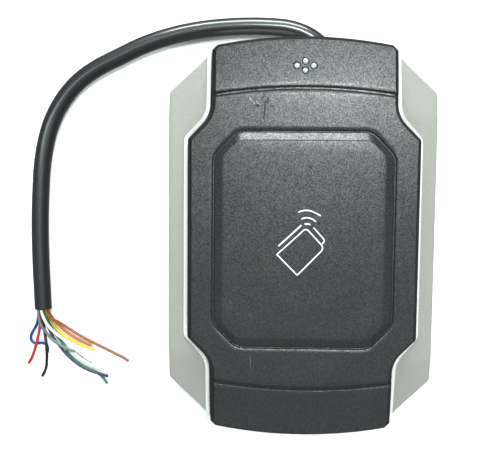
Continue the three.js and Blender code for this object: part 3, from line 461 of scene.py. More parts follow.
# ------------------------------------------------------------------ front cover

SIDE_STEPS = 24  # along the straight side of a quarter
ROUND_STEPS = [4, 10]  # round the shoulder and the neck
DIAGONAL_STEPS = 8
END_STEPS = 32  # along half of the bowed end
CORNER_STEPS = 4
CHAMFER_STEPS = 3


def even(steps):
    return np.linspace(0, 1, steps + 1)


def side_path(offset):
    """The cover's outline from the middle of its side, round shoulder and neck, to the brow's start."""
    corners = [(SHOULDER[0], 0, 0), SHOULDER, NECK, (NECK[0], SPLIT_Y, 0)]
    return rounded_path(corners, offset, ROUND_STEPS, [even(SIDE_STEPS), even(DIAGONAL_STEPS), even(1)])


def end_path(offset):
    """The cover's outline from the brow's corner to the middle of the bowed end.

    The end is laid out straight and then pushed out by bulge * (1 - (x / half width)^2).
    """
    corners = [(NECK[0], SPLIT_Y, 0), BROW_CORNER, BROW_END, (0, BROW_END[1], 0)]
    steps = [[1.0], even(CHAMFER_STEPS), even(END_STEPS)]
    path = rounded_path(corners, offset, [CORNER_STEPS, CORNER_STEPS], steps)
    path[:, 1] += BROW_BULGE * np.clip(1 - (path[:, 0] / BROW_END[0]) ** 2, 0, 1)
    return path


def face_z(y):
    """Height of the face: flat, then a smooth bend at SLOPE_Y into an even slope."""
    past = np.abs(y) - SLOPE_Y
    bend = 1.0
    return FACE_Z - FACE_SLOPE * (past + np.sqrt(past**2 + bend**2)) / 2


def arch_y(x):
    """Where the middle of the bowed groove lies: a parabola that stands for its large arc."""
    return ARCH_Y - x**2 / (2 * ARCH_RADIUS)


# Rows across the bowed groove, in half widths of it from its middle; its wall ends ARCH_REACH out.
ARCH_SIDE = np.array([0.25, *np.linspace(0.5, 1, 6), 1.25])
ARCH_ACROSS = np.concatenate([-ARCH_SIDE[::-1], [0], ARCH_SIDE])
ARCH_REACH = 1.15
ARCH_WALL = 0.9
NECK_ROWS = 3
BROW_ROWS = 12
FOOT_EDGE = 0.2  # small chamfers at the foot of the wall
COIL_POCKET_INSET = 4.5  # inside the panel's groove, where the ceiling steps up for the aerial coil


def brow_rows(x, top, half):
    """(y, groove share) for each row of the brow at the given x, from SPLIT_Y through the groove to top.

    Rows are even from SPLIT_Y to the groove, lie at fixed distances across it, and are even again to top.
    The groove share is 1 at the bottom of the groove and 0 outside it; half is the groove's half width.
    """
    x, top = np.atleast_1d(x)[None, :], np.atleast_1d(top)[None, :]
    across = arch_y(x) + half * ARCH_ACROSS[:, None]
    low, high = across[:1], across[-1:]
    below = SPLIT_Y + (low - SPLIT_Y) * even(NECK_ROWS)[:-1, None]
    above = high + (top - high) * even(BROW_ROWS)[1:, None]
    share = ease((ARCH_REACH - np.abs(ARCH_ACROSS)) / ARCH_WALL)[:, None] * np.ones_like(x)
    shares = np.concatenate([np.zeros_like(below), share, np.zeros_like(above)])
    return np.concatenate([below, across, above]), shares


def cover_loop(offset, half):
    """The cover's quarter outline at an offset, and the arch groove's share at each of its points."""
    side, end = side_path(offset), end_path(offset)
    rows, share = brow_rows(NECK[0] + offset, end[0, 1], half)
    neck = np.column_stack([np.full(len(rows), NECK[0] + offset), rows[:, 0]])[1:-1]
    path = np.concatenate([side, neck, end])
    shares = np.concatenate([np.zeros(len(side)), share[1:-1, 0], np.zeros(len(end))])
    return path, shares


# The panel's groove, in half widths of it: from its middle to its edge, the width of one wall, the floor.
GROOVE_REACH = 1.32
GROOVE_WALL = 0.95
GROOVE_FLOOR = 0.35
BEVEL_STEPS = 12
PLATEAU_STEPS = 10
RING_STEPS = 8  # between the face's outer edge and the panel's groove
PANEL_RADIUS = 7.0
PLATEAU_RADIUS = 4.5
BEVEL_ROUNDED = 0.35  # share of the bevel's width that curves over to the flat top
OCTAGON_CORNER_STEPS = 8
OCTAGON_CHAMFER_STEPS = 6


def octagon_quarter(x, y, chamfer, radius, inset=0.0):
    """A quarter of a rounded octagon, with as many points as the face's middle ring has."""
    side = len(side_path(0)) - 1 - OCTAGON_CORNER_STEPS - OCTAGON_CHAMFER_STEPS
    top = len(end_path(0)) - 1 - OCTAGON_CORNER_STEPS - OCTAGON_CHAMFER_STEPS
    corners = [(x, 0, 0), (x, y - chamfer, radius), (x - chamfer, y, radius), (0, y, 0)]
    steps = [even(side), even(2 * OCTAGON_CHAMFER_STEPS), even(top)]
    return rounded_path(corners, -inset, [OCTAGON_CORNER_STEPS] * 2, steps)


def with_height(path, z):
    return np.column_stack([path, np.broadcast_to(z, len(path))])


def blend_rows(first, last, steps):
    """Rows of points on straight lines from one row to another, both included."""
    share = even(steps)[:, None, None]
    return first[None] * (1 - share) + last[None] * share


def panel_rows(cover):
    """The panel from its groove's outer edge to its middle, as rows of a quarter.

    Across the groove the height is the face's, less the depth times an eased share that is 1 in the middle
    of the groove; then a straight bevel rises to the plateau, with a parabola for its rounded upper edge.
    """
    x, y, chamfer = cover.panel_x / MM, cover.panel_y / MM, cover.panel_chamfer / MM
    half, depth = cover.groove / MM / 2, cover.groove_depth / MM
    foot = GROOVE_REACH * half
    rows = []
    for across in np.concatenate([np.linspace(-foot, -GROOVE_FLOOR * half, 9), np.linspace(0, foot, 11)]):
        share = ease((foot - abs(across)) / (GROOVE_WALL * half))
        path = octagon_quarter(x, y, chamfer, PANEL_RADIUS, across + half)
        rows.append(with_height(path, FACE_Z - depth * share))
    top_x, top_y, top_chamfer = cover.plateau_x / MM, cover.plateau_y / MM, cover.plateau_chamfer / MM
    top = octagon_quarter(top_x, top_y, top_chamfer, PLATEAU_RADIUS)
    plateau = with_height(top, cover.plateau_z / MM)
    bevel = blend_rows(rows[-1], plateau, BEVEL_STEPS)[1:]
    share = even(BEVEL_STEPS)[1:]
    past = np.clip(share - (1 - BEVEL_ROUNDED), 0, None)
    climb = (share - past**2 / (2 * BEVEL_ROUNDED)) / (1 - BEVEL_ROUNDED / 2)
    bevel[:, :, 2] = FACE_Z + (cover.plateau_z / MM - FACE_Z) * climb[:, None]
    flat = blend_rows(bevel[-1], bevel[-1] * np.array([0, 0, 1]), PLATEAU_STEPS)[1:]
    return np.concatenate([np.stack(rows), bevel, flat])


def face_grids(cover):
    """The face inside its rounded edge: the brow and the ring with the panel, each a quarter mirrored."""
    inset = (cover.draft + cover.bevel) / MM
    end = end_path(-inset)
    y, share = brow_rows(end[:, 0], end[:, 1], cover.arch_half / MM)
    x = np.broadcast_to(end[:, 0], y.shape)
    brow = np.stack([x, y, face_z(y) - cover.arch_depth / MM * share], axis=-1)
    side = side_path(-inset)
    split = np.column_stack([end[1:, 0], np.full(len(end) - 1, SPLIT_Y)])
    ring = with_height(np.concatenate([side, split]), 0)
    ring[:, 2] = face_z(ring[:, 1])
    panel = panel_rows(cover)
    middle = np.concatenate([blend_rows(ring, panel[0], RING_STEPS)[:-1], panel])
    return four_ways(brow) + four_ways(middle)


def wall_grid(cover):
    """The cover outside and under its face, as rows of a quarter: bevel, leaning wall, foot, inside.

    The bevel starts with a small rounding, height = drop * share^1.25 over its width, the wall leans out
    evenly to the foot, and the inside follows it a wall's thickness away up to the ceiling. The bowed groove
    loses 0.6 of its depth down the bevel and runs out in the top quarter of the wall.
    """
    draft, bevel, drop, wall = (
        size / MM for size in (cover.draft, cover.bevel, cover.bevel_drop, cover.wall)
    )
    half, depth = cover.arch_half / MM, cover.arch_depth / MM
    rows = []
    for down in np.concatenate([[0, 0.04, 0.1], np.linspace(0.2, 1, 6)]):
        path, share = cover_loop(-draft - bevel * (1 - down), half)
        high = face_z(path[:, 1]) - drop * down**1.25
        rows.append(with_height(path, high - depth * share * (1 - 0.6 * down)))
    for down in even(8)[1:]:
        path, share = cover_loop(-draft * (1 - down), half)
        high = (face_z(path[:, 1]) - drop) * (1 - down) + (SKIRT_Z + FOOT_EDGE) * down
        rows.append(with_height(path, high - depth * share * 0.4 * max(0.0, 1 - 4 * down)))
    for offset, z in ((-FOOT_EDGE, 0), (2 * FOOT_EDGE - wall, 0), (-wall, 2 * FOOT_EDGE)):
        path, share = cover_loop(offset, half)
        rows.append(with_height(path, SKIRT_Z + z))
    path, share = cover_loop(-wall - draft - bevel / 2, half)
    rows.append(with_height(path, face_z(path[:, 1]) - wall))
    x, y, chamfer = cover.panel_x / MM, cover.panel_y / MM, cover.panel_chamfer / MM
    hole = octagon_quarter(x, y, chamfer, PANEL_RADIUS, COIL_POCKET_INSET)
    middle = len(side_path(0)) - 1
    spare = np.repeat(hole[middle:middle + 1], len(path) - len(hole), axis=0)
    hole = np.concatenate([hole[:middle], spare, hole[middle:]])
    for row in blend_rows(rows[-1], with_height(hole, 0), 6)[1:]:
        rows.append(with_height(row[:, :2], face_z(row[:, 1]) - wall))
    roof = cover.plateau_z / MM - wall
    rows.append(with_height(hole, roof))
    rows.append(with_height(hole * 0, roof))
    return four_ways(np.stack(rows))


def cover_shell(cover, face_finish, painted_shade_side_finish):
    """The whole cover, given its finishes (the face's, and the darker one of its steep sides, which is
    painted shade), and then its lamp holes, so each face keeps its own finish.
    """
    face = face_grids(cover)
    shell = make_piece("cover_shell", face + wall_grid(cover), second_from=len(face))
    give(shell, face_finish, painted_shade_side_finish)
    holes = []
    for i, (x, y) in enumerate(LIGHT_PLACES):
        ring = [(LIGHT_HOLE_RADIUS, LIGHT_HOLE_LOW), (LIGHT_HOLE_RADIUS, LIGHT_HOLE_HIGH)]
        profile = [(0, LIGHT_HOLE_LOW), *ring, (0, LIGHT_HOLE_HIGH)]
        holes.append(make_piece(f"hole_{i}", [turned(profile, HOLE_SIDES, (x, y, 0))]))
    cut_out(shell, holes)
    return shell


# ------------------------------------------------------------------ base housing

WING_STEPS = 23  # beside shoulder and neck
BEND_STEPS = 2
WING_CORNER_STEPS = 4
TIP_STEPS = 4  # where the lip runs out into the tip of the wing
TO_TIP_STEPS = 14
LIP_MEETS_EDGE = 0.84  # share of the diagonal edge where the lip reaches it
TIP = 0.948  # share of the diagonal edge where the cover crosses it
HOUSING_END_STEPS = 23
WING_STEPS_FROM_Y = 37.0  # the outline's points lie closer from here, beside shoulder and neck
WING_CORNER_ROOM = 0.6  # of the straight side that its rounded corner takes
BAND_STEPS = 8  # across the wing
HALFWAY_Z = 6.0  # a row halfway down the outer wall
RIM_EDGE = 0.35  # small roundings where the rim stands on the wall
RIM_SOFT = 0.1
RIM_INNER = 0.3
LEDGE_BEHIND_WALL = 0.4


def housing_path(offset):
    """The housing's quarter outline: side, wing corner, diagonal edge, and the bowed end under the cover."""
    corners = [(WING_CORNER[0], 0, 0), WING_CORNER, HOUSING_CORNER, HOUSING_END, (0, HOUSING_END[1], 0)]
    side_end, closer = WING_CORNER[1] - WING_CORNER_ROOM, WING_STEPS_FROM_Y
    by_side = even(SIDE_STEPS) * closer / side_end
    by_neck = closer / side_end + even(WING_STEPS)[1:] * (SPLIT_Y - closer) / side_end
    to_corner = SPLIT_Y / side_end + even(BEND_STEPS)[1:] * (1 - SPLIT_Y / side_end)
    diagonal = np.concatenate([
        even(TO_TIP_STEPS) * LIP_MEETS_EDGE,
        LIP_MEETS_EDGE + even(TIP_STEPS)[1:] * (TIP - LIP_MEETS_EDGE),
        [1.0],
    ])
    steps = [np.concatenate([by_side, by_neck, to_corner]), diagonal, even(2), even(HOUSING_END_STEPS)]
    path = rounded_path(corners, offset, [WING_CORNER_STEPS, 2, 2], steps)
    path[:, 1] += HOUSING_BULGE * np.clip(1 - (path[:, 0] / HOUSING_END[0]) ** 2, 0, 1)
    return path


WING_COUNT = SIDE_STEPS + WING_STEPS + BEND_STEPS + WING_CORNER_STEPS + TO_TIP_STEPS + TIP_STEPS + 1
LIP_COUNT = WING_COUNT - TIP_STEPS


def beside_cover(offset, edge):
    """The cover's quarter outline at an offset, with one point for each point of the housing's outline.

    Beside the wings it follows the cover and stops where it meets the housing's edge; past the tip of the
    wing, under the cover, it is the housing's edge itself.
    """
    side = side_path(offset)
    neck_rows = np.concatenate([
        SPLIT_Y + (edge[LIP_COUNT - 1, 1] - SPLIT_Y) * even(LIP_COUNT - len(side))[1:],
        edge[LIP_COUNT:WING_COUNT, 1],
    ])
    neck = np.column_stack([np.full(len(neck_rows), NECK[0] + offset), neck_rows])
    path = np.concatenate([side, neck, edge[WING_COUNT:]])
    last = slice(LIP_COUNT - 1, WING_COUNT)
    path[last, 0] = np.minimum(path[last, 0], edge[last, 0])
    return path


def wing_z(path):
    """Height of the wing: rises towards the cover and falls towards the ends past a smooth bend."""
    past = np.abs(path[:, 1]) - WING_BEND_Y
    bend = 1.6
    fall = WING_FALL * (past + np.sqrt(past**2 + bend**2)) / 2
    return WING_Z + WING_RISE * (WING_CORNER[0] - np.abs(path[:, 0])) - fall


def housing_grids(housing):
    """The housing as a closed band of rows round a quarter, mirrored: four plain grids, then four of lip.

    The rows run from the ledge inside, up and over the raised lip, out across the wing, over its rounded
    edge, down the outer wall, under the rim and back up inside. Past the wing's tip all rows of lip and wing
    meet on the edge at the ledge's height, where the cover hides them.
    """
    lip, height, round_lip = housing.lip_width / MM, housing.lip_height / MM, housing.lip_edge / MM
    round_wing, wall = housing.wing_edge / MM, housing.wall / MM
    edge = housing_path(0)
    on_wing = np.arange(len(edge)) < WING_COUNT
    rows = []

    def add(path, z):
        rows.append(with_height(path, np.where(on_wing, z, np.minimum(z, LEDGE_Z))))

    inner = beside_cover(-LEDGE_WIDTH, housing_path(-wall - LEDGE_BEHIND_WALL))
    add(inner, LEDGE_BOTTOM_Z)
    add(inner, LEDGE_Z)
    gap = beside_cover(COVER_GAP, edge)
    add(gap, LEDGE_Z)
    top = wing_z(gap) + height
    for turn in np.linspace(0, np.pi / 2, 5):
        path = beside_cover(COVER_GAP + round_lip * (1 - np.cos(turn)), edge)
        add(path, np.where(on_wing, top - round_lip * (1 - np.sin(turn)), LEDGE_Z))
    for turn in np.linspace(0, np.pi / 2, 5):
        path = beside_cover(COVER_GAP + lip - round_lip * (1 - np.sin(turn)), edge)
        add(path, np.where(on_wing, top - round_lip * (1 - np.cos(turn)), LEDGE_Z))
    for turn in np.linspace(0, np.pi / 2, 4):
        path = beside_cover(COVER_GAP + lip + round_lip * (1 - np.cos(turn)), edge)
        add(path, np.where(on_wing, wing_z(path) + round_lip * (1 - np.sin(turn)), LEDGE_Z))
    near_tip = ease((LIP_COUNT - 1 - np.arange(len(edge))) / 3)
    inward = housing_path(-1) - edge
    foot = rows[-1]
    shoulder = edge + inward * (round_wing * near_tip)[:, None]
    for share in even(BAND_STEPS)[1:]:
        path = foot[:, :2] * (1 - share) + shoulder * share
        add(path, np.where(on_wing, wing_z(path), LEDGE_Z))
    for turn in np.linspace(0, np.pi / 2, 5)[1:]:
        drop = round_wing * near_tip * (1 - np.cos(turn))
        path = edge + inward * (round_wing * near_tip * (1 - np.sin(turn)))[:, None]
        add(path, np.where(on_wing, wing_z(path) - drop, LEDGE_Z))
    rim = [(0, HALFWAY_Z), (0, RIM_EDGE), (-RIM_SOFT, RIM_SOFT), (-RIM_EDGE, 0)]
    for offset, z in rim + [(RIM_INNER - wall, 0), (-wall, RIM_INNER)]:
        add(housing_path(offset), z)
    add(housing_path(-wall), np.where(on_wing, wing_z(edge) - wall, LEDGE_BOTTOM_Z))
    lip_first, lip_last = 2, 12
    plain = four_ways(np.stack(rows[lip_last:] + rows[:lip_first + 1]))
    return plain + four_ways(np.stack(rows[lip_first:lip_last + 1]))


NOTCH = ((-4, 60, -1), (20, 80, 8.5))  # where the cable comes out
SECURITY_Z = 7.0
SECURITY_SEAT_Y = -69.2
SECURITY_HEAD_RADIUS = 2.8
SECURITY_SHANK_RADIUS = 1.5
SECURITY_FROM_Y, SECURITY_TO_Y = -80, -60  # how far its recess is cut


def housing_shell(housing, wing_finish, painted_highlight_lip_finish):
    """The whole housing, given its finishes (the wing's, and the lighter one of its lip, which is a painted
    highlight), and then its cable notch and screw recess.
    """
    grids = housing_grids(housing)
    shell = make_piece("housing_shell", grids, second_from=len(grids) // 2)
    give(shell, wing_finish, painted_highlight_lip_finish)
    head = [(SECURITY_HEAD_RADIUS, y) for y in (SECURITY_FROM_Y, SECURITY_SEAT_Y)]
    shank = [(SECURITY_SHANK_RADIUS, y) for y in (SECURITY_SEAT_Y, SECURITY_TO_Y)]
    hole = [(0, SECURITY_FROM_Y), *head, *shank, (0, SECURITY_TO_Y)]
    cutters = [
        make_piece("notch", [box_grid(*NOTCH)]),
        make_piece("screw_recess", [turned(hole, HOLE_SIDES, (0, 0, SECURITY_Z), axis="y")]),
    ]
    cut_out(shell, cutters)
    return shell


# ------------------------------------------------------------------ symbol and lamp tips

SYMBOL_FRONT_CARD = [(-9.1, -4.7, 0.1), (-2.0, -11.8, 0.1), (7.2, -2.3, 1.6), (0.8, 4.5, 1.2)]
SYMBOL_BACK_CARD = [(-8.6, -1.8), (-0.8, 5.5)]
SYMBOL_BACK_EDGE = [(3.4, 4.7), (5.3, 2.6), (7.0, 0.6), (7.1, -0.1), (6.4, -0.8)]
SYMBOL_DASH = [(0.3, 5.9), (1.2, 6.0), (2.3, 5.7)]
SYMBOL_WAVES = [
    [(-0.8, 7.7), (0.9, 8.1), (2.5, 7.8), (4.2, 6.8)],
    [(-1.9, 10.0), (0.2, 10.6), (2.4, 10.4), (5.8, 8.8)],
]
FRONT_CARD_LINE, BACK_CARD_LINE, BACK_EDGE_LINE = 0.44, 0.56, 0.42  # widths of the printed lines
DASH_LINE, WAVE_LINE = 0.5, 0.48
LINE_STEP = 0.25  # between the points of a curved line
LINE_EDGE_STEPS, LINE_CORNER_STEPS = 4, 8
PIPE_RADIUS = 1.0
PIPE_SIDES = 32
DOME_ROWS = 9
PIPE_DOME = 0.35
INK_THICKNESS = 0.03
INK_SINK = 0.01  # how far the film reaches into the panel


def stroke(route, width, surface_z, closed=False):
    """A flat printed line of the given width: four edges carried along a route in plan.

    At each point the line's sides lie width / 2 to either side of the centre, across its tangent.
    """
    centre = np.array(route, float)
    ahead = np.roll(centre, -1, axis=0) if closed else np.concatenate([centre[1:], centre[-1:]])
    behind = np.roll(centre, 1, axis=0) if closed else np.concatenate([centre[:1], centre[:-1]])
    tangent = ahead - behind
    tangent /= np.linalg.norm(tangent, axis=1, keepdims=True)
    normal = np.stack([-tangent[:, 1], tangent[:, 0]], axis=1) * width / 2
    low, high = surface_z - INK_SINK, surface_z - INK_SINK + INK_THICKNESS
    left, right = centre + normal, centre - normal
    edges = [(right, low), (left, low), (left, high), (right, high)]
    rows = np.stack([with_height(path, z) for path, z in edges])
    if closed:
        return rows, True, True
    middle = with_height(centre, (low + high) / 2)
    first = np.repeat(middle[None, :1], 4, axis=0)
    last = np.repeat(middle[None, -1:], 4, axis=0)
    return np.concatenate([first, rows, last], axis=1), True, False


def curve_in_plan(route):
    """A smooth curve through points in plan."""
    return smooth_path([(x, y, 0) for x, y in route], LINE_STEP)[:, :2]


def rounded_loop(corners):
    """A closed polygon with rounded corners, starting in the middle of its last edge."""
    first, last = np.array(corners[0][:2]), np.array(corners[-1][:2])
    middle = (first + last) / 2
    path = [(*middle, 0), *corners, (*middle, 0)]
    steps = [even(LINE_EDGE_STEPS)] * (len(corners) + 1)
    return rounded_path(path, 0.0, [LINE_CORNER_STEPS] * len(corners), steps)[:-1]


def symbol_grids(surface_z):
    """The printed sign of a card held to a reader: two overlapping cards and two waves."""
    strokes = [stroke(rounded_loop(SYMBOL_FRONT_CARD), FRONT_CARD_LINE, surface_z, closed=True)]
    strokes.append(stroke(SYMBOL_BACK_CARD, BACK_CARD_LINE, surface_z))
    curved = [(SYMBOL_BACK_EDGE, BACK_EDGE_LINE), (SYMBOL_DASH, DASH_LINE)]
    for route, width in curved + [(wave, WAVE_LINE) for wave in SYMBOL_WAVES]:
        strokes.append(stroke(curve_in_plan(route), width, surface_z))
    return strokes


def lamp_profile(low, top):
    """(radius, height) of one light pipe: a round stem whose tip is a quarter ellipse."""
    turns = np.linspace(0, np.pi / 2, DOME_ROWS)
    dome = [(PIPE_RADIUS * math.cos(turn), top - PIPE_DOME * (1 - math.sin(turn))) for turn in turns]
    return [(0, low), (PIPE_RADIUS, low), *dome]


# ------------------------------------------------------------------ cable and wires

# Distance between rings in millimetres, and the sides of each.
SHEATH_STEP, SHEATH_SIDES = 1.0, 40
WIRE_STEP, WIRE_SIDES = 0.4, 12
CORE_STEP, CORE_SIDES = 0.15, 10
WIRE_BORE_DEPTH = 0.6
CORE_PLAY = 0.02  # between a conductor and its insulation
CUT_EDGE = 0.12  # rounding of a cut end, as a share of its radius


def cord_piece(name, route, step, radius, bore, bore_depth, sides):
    """A tube along a smooth path through a route, cut square at its far end with an open bore there.

    Returns the piece and the path, whose points are the tube's ring centres.
    """
    path = smooth_path(route, step)
    length = path_length(path)
    along = np.linspace(0, length, len(path))
    edge = CUT_EDGE * radius
    body = [(at, radius) for at in along[:-1]]
    cut = [
        (length - edge, radius),
        (length, radius - edge),
        (length, bore),
        (length - bore_depth, bore),
        (length - bore_depth, 0),
    ]
    return make_piece(name, [tube(path, [(0, 0), *body, *cut], sides)], smooth_angle=CORD_SMOOTH_ANGLE), path


def core_piece(name, route, radius):
    """A stranded conductor: a thin tube with closed ends."""
    path = smooth_path(route, CORE_STEP)
    along = np.linspace(0, path_length(path), len(path))
    profile = [(0, 0), *[(at, radius) for at in along], (along[-1], 0)]
    return make_piece(name, [tube(path, profile, CORE_SIDES)])


# ------------------------------------------------------------------ materials

# Scratches on the cover from use: two points and a width, in millimetres.
DARK_SCRATCHES = [
    ((-13.6, 47.8), (-14.1, 41.9), 0.45),
    ((-12.5, 48.8), (-13.0, 47.0), 0.5),
    ((-13.9, 50.1), (-14.9, 48.3), 0.35),
    ((-16.8, 46.5), (-15.9, 46.1), 0.6),
    ((1.6, 25.6), (2.1, 25.1), 0.7),
]
PALE_SCRATCHES = [
    ((-19.0, 48.9), (-18.3, 47.9), 0.45),
    ((-17.9, 47.5), (-17.1, 46.8), 0.35),
    ((-16.7, 47.7), (-15.6, 46.7), 0.35),
    ((-18.0, -41.2), (-17.8, -45.1), 0.16),
    ((31.7, 37.2), (34.0, 38.9), 0.2),
    ((-14.2, 3.2), (-14.0, 3.0), 0.3),
    ((-25.2, -21.7), (-25.0, -21.9), 0.3),
]


def new_material(name):
    """An empty material, and the place in its part, in metres, that its patterns follow."""
    material = bpy.data.materials.new(name)
    material.use_nodes = True
    material.node_tree.nodes.clear()
    return material, add_node(material, "ShaderNodeTexCoord").outputs["Object"]


def add_node(material, kind, inputs=None, **settings):
    """Adds a shader node, sets its settings, and links or sets its inputs. Returns the node."""
    node = material.node_tree.nodes.new(kind)
    for key, value in settings.items():
        setattr(node, key, value)
    for key, value in (inputs or {}).items():
        if isinstance(value, bpy.types.NodeSocket):
            material.node_tree.links.new(value, node.inputs[key])
        else:
            node.inputs[key].default_value = value
    return node


def finish_material(material, shader):
    add_node(material, "ShaderNodeOutputMaterial", {"Surface": shader.outputs["BSDF"]})
    return material


def noise(material, where, size, detail=2.0):
    """Noise whose features are about size metres across."""
    settings = {"Vector": where, "Scale": 1 / size, "Detail": detail}
    return add_node(material, "ShaderNodeTexNoise", settings).outputs["Fac"]


def remap(material, value, low, high, to_low, to_high):
    inputs = {"Value": value, "From Min": low, "From Max": high, "To Min": to_low, "To Max": to_high}
    return add_node(material, "ShaderNodeMapRange", inputs).outputs["Result"]


def shaded(material, colour, value, low, high):
    """A colour made darker or lighter as value runs from 0 to 1."""
    factor = remap(material, value, 0, 1, low, high)
    hue = {"Color": (*colour, 1), "Value": factor}
    return add_node(material, "ShaderNodeHueSaturation", hue).outputs["Color"]


def grain_bump(material, where, size, height):
    inputs = {"Height": noise(material, where, size), "Distance": height, "Strength": 1.0}
    return add_node(material, "ShaderNodeBump", inputs).outputs["Normal"]


GRAIN_DEPTH = 0.02 * MM
CLOUDINESS = 0.06  # how far the colour of moulded plastic wanders, as a share


def moulded_plastic(name, colour, roughness=0.5, grain=0.35 * MM, specular=0.5):
    """A moulded plastic: fine grain in its surface and a faint cloudiness in colour and gloss."""
    material, where = new_material(name)
    cloud = noise(material, where, 9 * MM)
    shader = add_node(material, "ShaderNodeBsdfPrincipled", {
        "Base Color": shaded(material, colour, cloud, 1 - CLOUDINESS, 1 + CLOUDINESS),
        "Roughness": remap(material, cloud, 0.3, 0.7, roughness - 0.04, roughness + 0.04),
        "Specular IOR Level": specular,
        "Normal": grain_bump(material, where, grain, GRAIN_DEPTH),
    })
    return finish_material(material, shader)


def sheath_pvc(name, colour):
    """Grey-black PVC sheath: satin, with shallow marks along it where it was drawn and handled."""
    material, where = new_material(name)
    cloud = noise(material, where, 6 * MM, detail=3.0)
    shader = add_node(material, "ShaderNodeBsdfPrincipled", {
        "Base Color": shaded(material, colour, cloud, 0.92, 1.08),
        "Roughness": remap(material, cloud, 0.3, 0.7, 0.36, 0.44),
        "Specular IOR Level": 0.6,
        "Coat Weight": 0.8,
        "Coat Roughness": 0.12,
        "Normal": grain_bump(material, where, 1.2 * MM, 0.01 * MM),
    })
    return finish_material(material, shader)


def worked_metal(name, colour, roughness=0.35, streak=0.5 * MM):
    """A turned or rolled metal: gloss that varies in fine streaks."""
    material, where = new_material(name)
    streaks = noise(material, where, streak, detail=3.0)
    shader = add_node(material, "ShaderNodeBsdfPrincipled", {
        "Base Color": shaded(material, colour, streaks, 0.85, 1.1),
        "Metallic": 1.0,
        "Roughness": remap(material, streaks, 0.3, 0.7, roughness - 0.08, roughness + 0.1),
        "Normal": grain_bump(material, where, streak / 2, 0.004 * MM),
    })
    return finish_material(material, shader)


def scratch_mask(material, where, scratches):
    """1 on any of the scratches, each ((x, y), (x, y), width) in millimetres, and 0 elsewhere.

    A scratch is what lies within half its width of the stretch from its first point to its second.
    """
    in_plan = {0: where, 1: (1, 1, 0)}
    flat = add_node(material, "ShaderNodeVectorMath", in_plan, operation="MULTIPLY").outputs[0]
    mask = None
    for start, end, width in scratches:
        start, end = (np.array([*point, 0.0]) * MM for point in (start, end))
        along = end - start
        from_start = {0: flat, 1: start}
        here = add_node(material, "ShaderNodeVectorMath", from_start, operation="SUBTRACT").outputs[0]
        unit = {0: here, 1: along / along.dot(along)}
        share = add_node(material, "ShaderNodeVectorMath", unit, operation="DOT_PRODUCT").outputs["Value"]
        nearest = add_node(material, "ShaderNodeClamp", {"Value": share}).outputs["Result"]
        on_line = add_node(material, "ShaderNodeVectorMath", {0: along, "Scale": nearest}, operation="SCALE")
        gap = {0: here, 1: on_line.outputs[0]}
        distance = add_node(material, "ShaderNodeVectorMath", gap, operation="DISTANCE").outputs["Value"]
        this = remap(material, distance, 0.25 * width * MM, 0.6 * width * MM, 1, 0)
        if mask is None:
            mask = this
        else:
            mask = add_node(material, "ShaderNodeMath", {0: mask, 1: this}, operation="MAXIMUM").outputs[0]
    return mask


def sparkling_abs(name, colour):
    """Charcoal ABS with a sandy moulded texture: grains of uneven gloss make the face glitter in light.

    A few scratches from use break it: dug ones lose their gloss, and raised ones are pale.
    """
    material, where = new_material(name)
    cells = {"Vector": where, "Scale": 1 / (0.26 * MM)}
    grains = add_node(material, "ShaderNodeTexVoronoi", cells).outputs["Color"]
    glint = add_node(material, "ShaderNodeSeparateColor", {"Color": grains}).outputs["Red"]
    cloud = noise(material, where, 14 * MM)
    dug = scratch_mask(material, where, DARK_SCRATCHES)
    raised = scratch_mask(material, where, PALE_SCRATCHES)
    gloss = remap(material, glint, 0.2, 1.0, 0.15, 1.0)
    worn_gloss = {0: gloss, 1: dug}
    gloss = add_node(material, "ShaderNodeMath", worn_gloss, operation="SUBTRACT", use_clamp=True).outputs[0]
    tone = remap(material, raised, 0, 1, 1, 5)
    worn = {"Color": shaded(material, colour, cloud, 0.93, 1.07), "Value": tone}
    shader = add_node(material, "ShaderNodeBsdfPrincipled", {
        "Base Color": add_node(material, "ShaderNodeHueSaturation", worn).outputs["Color"],
        "Roughness": remap(material, cloud, 0.3, 0.7, 0.29, 0.34),
        "Specular IOR Level": gloss,
        "Normal": grain_bump(material, where, 0.3 * MM, 0.02 * MM),
    })
    return finish_material(material, shader)


def silver_paint(name, colour, metallic=0.4, flake_height=0.012 * MM):
    """Silver paint on ABS: a satin coat with fine metal flake, seen as a soft glitter in its gloss.

    Real flake is too fine to show, so it is drawn 0.3 mm across.
    """
    material, where = new_material(name)
    cells = {"Vector": where, "Scale": 1 / (0.3 * MM)}
    flake = add_node(material, "ShaderNodeTexVoronoi", cells).outputs["Color"]
    tone = add_node(material, "ShaderNodeSeparateColor", {"Color": flake}).outputs["Red"]
    shader = add_node(material, "ShaderNodeBsdfPrincipled", {
        "Base Color": shaded(material, colour, tone, 0.94, 1.06),
        "Metallic": metallic,
        "Roughness": remap(material, tone, 0, 1, 0.34, 0.44),
        "Coat Weight": 0.15,
        "Coat Roughness": 0.25,
        "Normal": grain_bump(material, where, 0.3 * MM, flake_height),
    })
    return finish_material(material, shader)


def printed_ink(name, colour):
    """Screen-printed white ink: nearly opaque, its cover a little uneven so the panel greys it."""
    material, where = new_material(name)
    cover = noise(material, where, 0.5 * MM, detail=4.0)
    shader = add_node(material, "ShaderNodeBsdfPrincipled", {
        "Base Color": shaded(material, colour, cover, 0.9, 1.03),
        "Roughness": remap(material, cover, 0, 1, 0.45, 0.6),
        "Normal": grain_bump(material, where, 0.3 * MM, 0.01 * MM),
    })
    return finish_material(material, shader)


